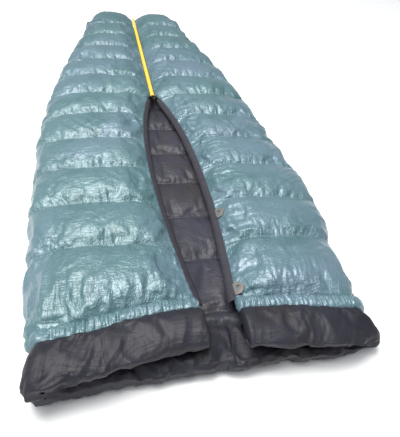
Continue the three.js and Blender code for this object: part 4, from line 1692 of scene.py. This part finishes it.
class Shader:
    """A material under construction."""

    def __init__(self, name: str) -> None:
        """Starts a material with its own Principled shader."""
        self.material = bpy.data.materials.new(name)
        self.material.use_nodes = True
        self.tree = self.material.node_tree
        self.surface = self.tree.nodes["Principled BSDF"]

    def node(
        self, kind: str, settings: dict[str, Any] | None = None, inputs: dict[Any, Any] | None = None,
        output: int | str = 0,
    ) -> Signal:
        """Adds a node.

        Args:
            kind: the node's type.
            settings: its settings, which are set first; "stops" fills a ramp.
            inputs: values or signals for its sockets, by name or number.
            output: the output that is wanted.

        Returns:
            That output.
        """
        node = self.tree.nodes.new(kind)
        for key, value in (settings or {}).items():
            if key == "stops":
                self._fill_ramp(node, value)
            else:
                setattr(node, key, value)
        for key, value in (inputs or {}).items():
            self.feed(node.inputs[key], value)
        return Signal(self, node.outputs[output])

    @staticmethod
    def _fill_ramp(node: bpy.types.Node, stops: Sequence[tuple[float, Sequence[float]]]) -> None:
        """Sets a colour ramp's stops."""
        elements = node.color_ramp.elements
        while len(elements) < len(stops):
            elements.new(1.0)
        for element, (place, colour) in zip(elements, stops):
            element.position = place
            element.color = (*colour, 1.0)

    def feed(self, socket: bpy.types.NodeSocket, value: Any) -> None:
        """Links a signal to a socket, or sets the socket's own value."""
        if isinstance(value, Signal):
            self.tree.links.new(value.socket, socket)
        else:
            socket.default_value = value

    def place(self) -> Signal:
        """The place on the object, in metres."""
        return self.node("ShaderNodeTexCoord", output="Object")

    def cloth(self) -> Signal:
        """The place along the cloth, in metres."""
        return self.node("ShaderNodeTexCoord", output="UV")

    def math(self, operation: str, *values: Signal | float) -> Signal:
        """The result of a Math node, given its operation and its inputs in order."""
        return self.node("ShaderNodeMath", {"operation": operation}, dict(enumerate(values)))

    def noise(
        self, where: Signal, scale: float, detail: float = 3.0, rough: float = 0.5, bend: float = 0.0
    ) -> Signal:
        """Cloudy noise, 0 to 1."""
        return self.node(
            "ShaderNodeTexNoise", {"noise_dimensions": "3D"},
            {"Vector": where, "Scale": scale, "Detail": detail, "Roughness": rough, "Distortion": bend},
        )

    def folds(
        self, where: Signal, stretch: Sequence[float], turn: float, scale: float, keen: float
    ) -> Signal:
        """Long irregular ridges: 1 on a ridge, 0 away from it.

        Args:
            where: the place that is read.
            stretch: scale of each axis before the noise.
            turn: turn about the vertical, in degrees.
            scale: ridges per metre.
            keen: how narrow a ridge is; less is narrower.

        Returns:
            The ridges.
        """
        turned = self.node(
            "ShaderNodeMapping", {},
            {"Vector": where, "Rotation": (0, 0, math.radians(turn)), "Scale": tuple(stretch)},
        )
        waves = self.noise(turned, scale, 2.0, 0.4, 2.4)
        return 1.0 - self.math("ABSOLUTE", waves - 0.5).within(0.0, keen)

    def creases(self, where: Signal, scale: float, sharp: float, bend: float) -> Signal:
        """Sharp random fold lines: 0 on a line, up to 1 away from it."""
        drift = self.node(
            "ShaderNodeTexNoise", {}, {"Vector": where, "Scale": scale * 0.6, "Detail": 2.0}, output="Color"
        )
        shifted = self.node(
            "ShaderNodeVectorMath", {"operation": "MULTIPLY_ADD"}, {0: drift, 1: (bend,) * 3, 2: where}
        )
        cells = self.node(
            "ShaderNodeTexVoronoi", {"feature": "DISTANCE_TO_EDGE"}, {"Vector": shifted, "Scale": scale}
        )
        return self.math("MINIMUM", cells * sharp, 1.0)

    def mix(self, share: Signal | float, first: Any, second: Any) -> Signal:
        """Blends two colours."""
        node = self.tree.nodes.new("ShaderNodeMix")
        node.data_type = "RGBA"
        self.feed(node.inputs["Factor"], share)
        self.feed(node.inputs[MIX_FIRST], self.colour(first))
        self.feed(node.inputs[MIX_SECOND], self.colour(second))
        return Signal(self, node.outputs[MIX_COLOUR])

    @staticmethod
    def colour(value: Any) -> Any:
        """Gives a plain colour its alpha."""
        return value if isinstance(value, Signal) else (*value, 1.0)

    def finish(self, bumps: Sequence[tuple[Signal, float]] = (), **sockets: Any) -> bpy.types.Material:
        """Feeds the surface and its bumps.

        Args:
            bumps: heights and how tall each is, in metres.
            sockets: the shader's sockets, with underscores for spaces.

        Returns:
            The material.
        """
        for key, value in sockets.items():
            self.feed(self.surface.inputs[key.replace("_", " ")], value)
        if bumps:
            height = bumps[0][0] * bumps[0][1]
            for signal, tall in bumps[1:]:
                height = height + signal * tall
            normal = self.node("ShaderNodeBump", {}, {"Strength": 1.0, "Distance": 1.0, "Height": height})
            self.feed(self.surface.inputs["Normal"], normal)
        return self.material


@dataclass(frozen=True)
class CrinkledNylon:
    """Thin glossy nylon, crinkled all over, with colour that drifts between two shades."""

    name: str
    colour: tuple[float, float, float]
    cool: tuple[float, float, float]
    deep: tuple[float, float, float]
    roughness: float
    coat: float
    crease_height: float
    fine_height: float
    crease_scale: float
    metallic: float
    specular: float
    calm: float

    def material(self, plan: Plan) -> bpy.types.Material:
        """Makes the material.

        Args:
            plan: the quilt's measures, for the places of the seams.

        Returns:
            The material.
        """
        shader = Shader(self.name)
        where, cloth = shader.place(), shader.cloth()
        split = shader.node("ShaderNodeSeparateXYZ", {}, {"Vector": where}, output="Y")
        phase = shader.math("FRACT", (split - plan.body_head) / plan.pitch)
        seam = shader.math("ABSOLUTE", phase * 2.0 - 1.0) ** 3.0
        puckered = self.calm + (1.0 - self.calm) * seam
        torn = shader.noise(where, 9.0, 2.0).within(0.42, 0.60)
        patch = shader.noise(where, 3.2, 3.0, 0.55, 0.4).within(0.40, 0.66)
        dark = shader.noise(where, 7.5, 4.0, 0.6, 0.6).within(0.50, 0.74)
        tone = shader.mix(patch, self.colour, self.cool)
        tone = shader.mix(dark * 0.75, tone, self.deep)
        large = shader.creases(where, self.crease_scale, 5.0, 0.035)
        gathered = shader.folds(where, (1.0, 0.2, 0.8), 8.0, self.crease_scale * 0.8, 0.09)
        slanted = shader.folds(where, (0.25, 1.0, 0.6), 34.0, self.crease_scale * 0.6, 0.07)
        second = shader.folds(where, (0.25, 1.0, 0.6), -40.0, self.crease_scale * 0.9, 0.07)
        soft = shader.noise(where, 55.0, 4.0, 0.6, 0.8)
        grain = shader.noise(cloth, 900.0, 2.0, 0.5)
        threads = shader.node(
            "ShaderNodeTexWave", {"wave_type": "BANDS", "bands_direction": "X"},
            {"Vector": cloth, "Scale": 160.0, "Distortion": 0.3},
        )
        gloss = shader.noise(where, 16.0, 3.0, 0.6) * 0.16 + (self.roughness - 0.08)
        return shader.finish(
            bumps=(
                (large, self.crease_height * 0.45),
                (gathered * puckered, self.crease_height),
                (slanted * torn, self.crease_height * 0.75),
                (second * (1.0 - torn), self.crease_height * 0.65),
                (soft, self.fine_height * 3),
                (grain, self.fine_height * 0.22),
                (threads, self.fine_height * 0.12),
            ),
            Base_Color=tone, Roughness=gloss, Metallic=self.metallic, Specular_IOR_Level=self.specular,
            Coat_Weight=self.coat, Coat_Roughness=0.28,
        )


@dataclass(frozen=True)
class WovenTape:
    """A woven tape: a twill of fine threads with small colour changes."""

    name: str
    colour: tuple[float, float, float]
    shade: tuple[float, float, float]
    roughness: float
    threads: float
    height: float

    def material(self) -> bpy.types.Material:
        """Makes the material."""
        shader = Shader(self.name)
        where = shader.place()
        turned = shader.node("ShaderNodeMapping", {}, {"Vector": where, "Rotation": (0, 0, math.radians(35))})
        warp = shader.node(
            "ShaderNodeTexWave", {"bands_direction": "X"},
            {"Vector": turned, "Scale": self.threads, "Distortion": 0.6, "Detail Scale": 2.0},
        )
        weft = shader.node(
            "ShaderNodeTexWave", {"bands_direction": "Y"},
            {"Vector": where, "Scale": self.threads * 1.3, "Distortion": 0.4},
        )
        worn = shader.noise(where, 60.0, 4.0, 0.6).within(0.35, 0.75)
        weave = warp * 0.6 + weft * 0.4
        tone = shader.mix(worn * 0.6 + weave * 0.25, self.colour, self.shade)
        return shader.finish(
            bumps=((weave, self.height), (shader.noise(where, 90.0), self.height * 1.6)),
            Base_Color=tone, Roughness=worn * 0.12 + self.roughness, Specular_IOR_Level=0.35,
        )


@dataclass(frozen=True)
class Moulded:
    """Moulded plastic or painted metal: a faint grain, with paler or darker wear in spots."""

    name: str
    colour: tuple[float, float, float]
    wear: tuple[float, float, float]
    roughness: float
    metallic: float
    grain: float

    def material(self) -> bpy.types.Material:
        """Makes the material."""
        shader = Shader(self.name)
        where = shader.place()
        spots = shader.noise(where, 420.0, 4.0, 0.6).within(0.55, 0.8)
        haze = shader.noise(where, 120.0, 3.0, 0.5)
        tone = shader.mix(spots * 0.5, self.colour, self.wear)
        return shader.finish(
            bumps=((shader.noise(where, 1500.0, 2.0), self.grain), (haze, self.grain * 2)),
            Base_Color=tone, Roughness=haze * 0.2 + (self.roughness - 0.1), Metallic=self.metallic,
            Specular_IOR_Level=0.5,
        )


@dataclass(frozen=True)
class Palette:
    """Every finish of the quilt."""

    shell: CrinkledNylon = CrinkledNylon(
        "teal nylon", colour=(0.098, 0.188, 0.212), cool=(0.130, 0.206, 0.268), deep=(0.044, 0.120, 0.130),
        roughness=0.40, coat=0.25, crease_height=0.75 * MM, fine_height=0.12 * MM, crease_scale=60.0,
        metallic=0.16, specular=0.7, calm=0.2,
    )
    lining: CrinkledNylon = CrinkledNylon(
        "charcoal nylon", colour=(0.027, 0.027, 0.038), cool=(0.036, 0.036, 0.054), deep=(0.036, 0.032, 0.026),
        roughness=0.50, coat=0.0, crease_height=0.45 * MM, fine_height=0.10 * MM, crease_scale=36.0,
        metallic=0.0, specular=0.4, calm=0.35,
    )
    # The lining's charcoal nylon again, made darker: painted shade on the collars, whose faces turn away from the
    # light overhead.
    collar: CrinkledNylon = CrinkledNylon(
        "dark charcoal nylon", colour=(0.016, 0.016, 0.024), cool=(0.023, 0.023, 0.034),
        deep=(0.024, 0.021, 0.018), roughness=0.53, coat=0.0, crease_height=0.42 * MM, fine_height=0.10 * MM,
        crease_scale=34.0, metallic=0.0, specular=0.32, calm=0.4,
    )
    binding: WovenTape = WovenTape(
        "charcoal tape", colour=(0.030, 0.029, 0.040), shade=(0.050, 0.047, 0.060), roughness=0.66,
        threads=420.0, height=0.10 * MM,
    )
    tape: WovenTape = WovenTape(
        "yellow tape", colour=(0.80, 0.56, 0.065), shade=(0.66, 0.42, 0.03), roughness=0.62, threads=520.0,
        height=0.10 * MM,
    )
    thread: WovenTape = WovenTape(
        "black thread", colour=(0.016, 0.016, 0.020), shade=(0.04, 0.04, 0.045), roughness=0.7, threads=900.0,
        height=0.06 * MM,
    )
    teeth: Moulded = Moulded(
        "yellow teeth", colour=(0.90, 0.70, 0.13), wear=(0.78, 0.56, 0.07), roughness=0.33, metallic=0.0,
        grain=0.01 * MM,
    )
    metal: Moulded = Moulded(
        "black metal", colour=(0.020, 0.020, 0.024), wear=(0.10, 0.10, 0.11), roughness=0.36, metallic=0.7,
        grain=0.01 * MM,
    )
    plastic: Moulded = Moulded(
        "grey plastic", colour=(0.150, 0.140, 0.132), wear=(0.105, 0.098, 0.092), roughness=0.5, metallic=0.0,
        grain=0.015 * MM,
    )
    snap: Moulded = Moulded(
        "grey snap", colour=(0.27, 0.28, 0.30), wear=(0.40, 0.41, 0.42), roughness=0.36, metallic=0.45,
        grain=0.01 * MM,
    )


# ---------------------------------------------------------------- studio


@dataclass
class Studio:
    """The camera, the pale floor and the soft lights."""

    place: tuple[float, float, float] = (-0.1908, -1.4253, 0.7632)
    heading: float = 15.98
    tilt: float = 39.28
    roll: float = 7.68
    lens: float = 36.15
    sensor: float = 36.0
    floor_size: float = 40.0
    floor_drop: float = 0.8 * MM
    floor_colour: tuple[float, float, float] = (0.95, 0.955, 0.96)
    sky_colour: tuple[float, float, float] = (0.90, 0.95, 1.0)
    sky_strength: float = 0.30

    def camera(self) -> None:
        """Sets the camera: heading from +Y towards +X, tilt below the horizon, and roll, in degrees."""
        yaw, pitch, roll = (math.radians(a) for a in (self.heading, self.tilt, self.roll))
        forward = Vector((math.sin(yaw) * math.cos(pitch), math.cos(yaw) * math.cos(pitch), -math.sin(pitch)))
        level = Vector((math.cos(yaw), -math.sin(yaw), 0))
        upright = level.cross(forward)
        right = level * math.cos(roll) + upright * math.sin(roll)
        up = upright * math.cos(roll) - level * math.sin(roll)
        data = bpy.data.cameras.new("camera")
        data.lens, data.sensor_width = self.lens, self.sensor
        data.clip_start, data.clip_end = 0.05, 50.0
        camera = bpy.data.objects.new("camera", data)
        bpy.context.scene.collection.objects.link(camera)
        turn = Matrix((right, up, -forward)).transposed()
        camera.matrix_world = Matrix.Translation(self.place) @ turn.to_4x4()
        bpy.context.scene.camera = camera

    def light(
        self, name: str, place: Sequence[float], aim: Sequence[float], size: tuple[float, float],
        power: float, colour: Sequence[float],
    ) -> None:
        """Adds a soft box.

        Args:
            name: the light's name.
            place: where it stands.
            aim: the point that it faces.
            size: its width and height.
            power: in watts.
            colour: red, green and blue.
        """
        data = bpy.data.lights.new(name, "AREA")
        data.shape = "RECTANGLE"
        data.size, data.size_y = size
        data.energy = power
        data.color = colour
        lamp = bpy.data.objects.new(name, data)
        bpy.context.scene.collection.objects.link(lamp)
        lamp.location = place
        lamp.rotation_euler = (Vector(aim) - Vector(place)).to_track_quat("-Z", "Y").to_euler()

    def daylight(
        self, towards: Sequence[float], strength: float, spread: float, colour: Sequence[float]
    ) -> None:
        """Adds even light from far away.

        Args:
            towards: the way to it.
            strength: its strength on a surface that faces it.
            spread: how wide it looks, in degrees.
            colour: red, green and blue.
        """
        data = bpy.data.lights.new("daylight", "SUN")
        data.energy, data.angle, data.color = strength, math.radians(spread), colour
        lamp = bpy.data.objects.new("daylight", data)
        bpy.context.scene.collection.objects.link(lamp)
        lamp.rotation_euler = Vector(towards).to_track_quat("Z", "Y").to_euler()

    def build(self) -> None:
        """Sets up the floor, the world and the lights."""
        self.camera()
        deselect()
        bpy.ops.mesh.primitive_plane_add(size=self.floor_size, location=(0, 0, -self.floor_drop))
        floor = bpy.context.object
        floor.name = "studio_floor"
        paint = bpy.data.materials.new("studio_floor")
        paint.use_nodes = True
        shader = paint.node_tree.nodes["Principled BSDF"]
        shader.inputs["Base Color"].default_value = (*self.floor_colour, 1)
        shader.inputs["Roughness"].default_value = 0.9
        shader.inputs["Specular IOR Level"].default_value = 0.2
        floor.data.materials.append(paint)
        world = bpy.data.worlds.new("studio")
        world.use_nodes = True
        sky = world.node_tree.nodes["Background"]
        sky.inputs["Color"].default_value = (*self.sky_colour, 1)
        sky.inputs["Strength"].default_value = self.sky_strength
        bpy.context.scene.world = world
        self.light(
            "softbox", place=(-0.7, -0.4, 3.0), aim=(0, 0, 0), size=(1.9, 1.9), power=120,
            colour=(1.0, 0.97, 0.92),
        )
        self.daylight((-0.30, -0.12, 1.0), strength=1.65, spread=60.0, colour=(0.97, 0.985, 1.0))
        bpy.context.scene.view_settings.view_transform = "Standard"


# ---------------------------------------------------------------- the quilt


def dress(material: bpy.types.Material, *pieces: bpy.types.Object) -> None:
    """Gives pieces their material, and logs their sizes."""
    for piece in pieces:
        piece.data.materials.clear()
        piece.data.materials.append(material)
        triangles = sum(len(face.vertices) - 2 for face in piece.data.polygons)
        LOG.info("%s: %d triangles", piece.name, triangles)


def build_soft(plan: Plan, palette: Palette) -> None:
    """Builds everything that is cloth and down.

    Args:
        plan: the quilt's measures.
        palette: its finishes.
    """
    # dark is the collars' charcoal nylon, darkened as painted shade.
    dark = palette.collar.material(plan)
    shell, lining = palette.shell.material(plan), palette.lining.material(plan)
    tape = palette.binding.material()
    bench = ClothBench()
    skins = [OuterSkin(plan, side) for side in Side]
    linings = [
        Lining(
            plan, None, crest=plan.back_top + 1 * MM, depth=15 * MM, head=plan.tunnel_head - 14 * MM,
            columns=92, rows_each=24,
        ),
        *(
            Lining(
                plan, side, crest=plan.flap_floor, depth=5 * MM, head=plan.tunnel_head - 4 * MM,
                columns=34, rows_each=16,
            )
            for side in Side
        ),
    ]
    collars = [Collar(plan, side) for side in Side]
    laid = [(part, part.build(bench)) for part in (*skins, *linings, *collars)]
    bench.run()
    for part, piece in laid:
        part.attach(piece)
        dress({OuterSkin: shell, Lining: lining, Collar: dark}[type(part)], piece)
    dress(shell, Underside(plan).build())
    for side in Side:
        tunnel, hem = GatheredTube.tunnel(plan, side), GatheredTube.hem(plan, side)
        tube, end = tunnel.build(), hem.build()
        panels = (side.word, "back") if side is Side.LEFT else (side.word,)
        for panel_tube, piece, slot, kinds in (
            (tunnel, tube, "teal_shell", ("drawcord_tunnel", "drawcord")),
            (hem, end, "charcoal_binding", ("foot_hem", "foot_elastic")),
        ):
            panel_tube.attach(piece, slot, *(f"{panel}_{kind}" for panel in panels for kind in kinds))
        edge = EdgeBinding(plan, side).build()
        turn = InnerTurn(plan, side).build()
        dress(shell, tube)
        dress(lining, turn)
        dress(tape, end, edge)


def build_hard(frame: Frame, palette: Palette) -> None:
    """Builds the zip, the snaps and the tabs.

    Args:
        palette: the quilt's finishes.
    """
    zipper = Zip(frame)
    yellow, gold = palette.tape.material(), palette.teeth.material()
    metal, snap = palette.metal.material(), palette.snap.material()
    plastic, thread = palette.plastic.material(), palette.thread.material()
    for side in Side:
        cloth, teeth, cap = zipper.tape(side), zipper.teeth(side), SnapCap(side).build()
        dress(yellow, cloth)
        dress(gold, teeth)
        dress(snap, cap)
    for piece, slot in zipper.fittings():
        dress({"yellow_chain": gold, "black_cord": thread, "black_metal": metal}[slot], piece)
    dress(snap, frame["nodes"]["left_snap_socket"], frame["nodes"]["right_snap_stud"])
    webbing = bpy.data.materials[palette.binding.name]
    for node, body in (("pad_tab_head", "tab_head"), ("pad_tab_middle", "tab_middle")):
        tab = PadTab(frame, node, body)
        plate, loop = tab.plate(), tab.loop()
        dress(plastic, plate)
        dress(webbing, loop)


def main() -> None:
    """Builds the quilt round the frame, in its studio."""
    logging.basicConfig(level=logging.INFO, format="%(name)s: %(message)s")
    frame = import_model()
    plan = Plan.read(frame)
    Studio().build()
    palette = Palette()
    build_soft(plan, palette)
    build_hard(frame, palette)


if __name__ == "__main__":
    main()
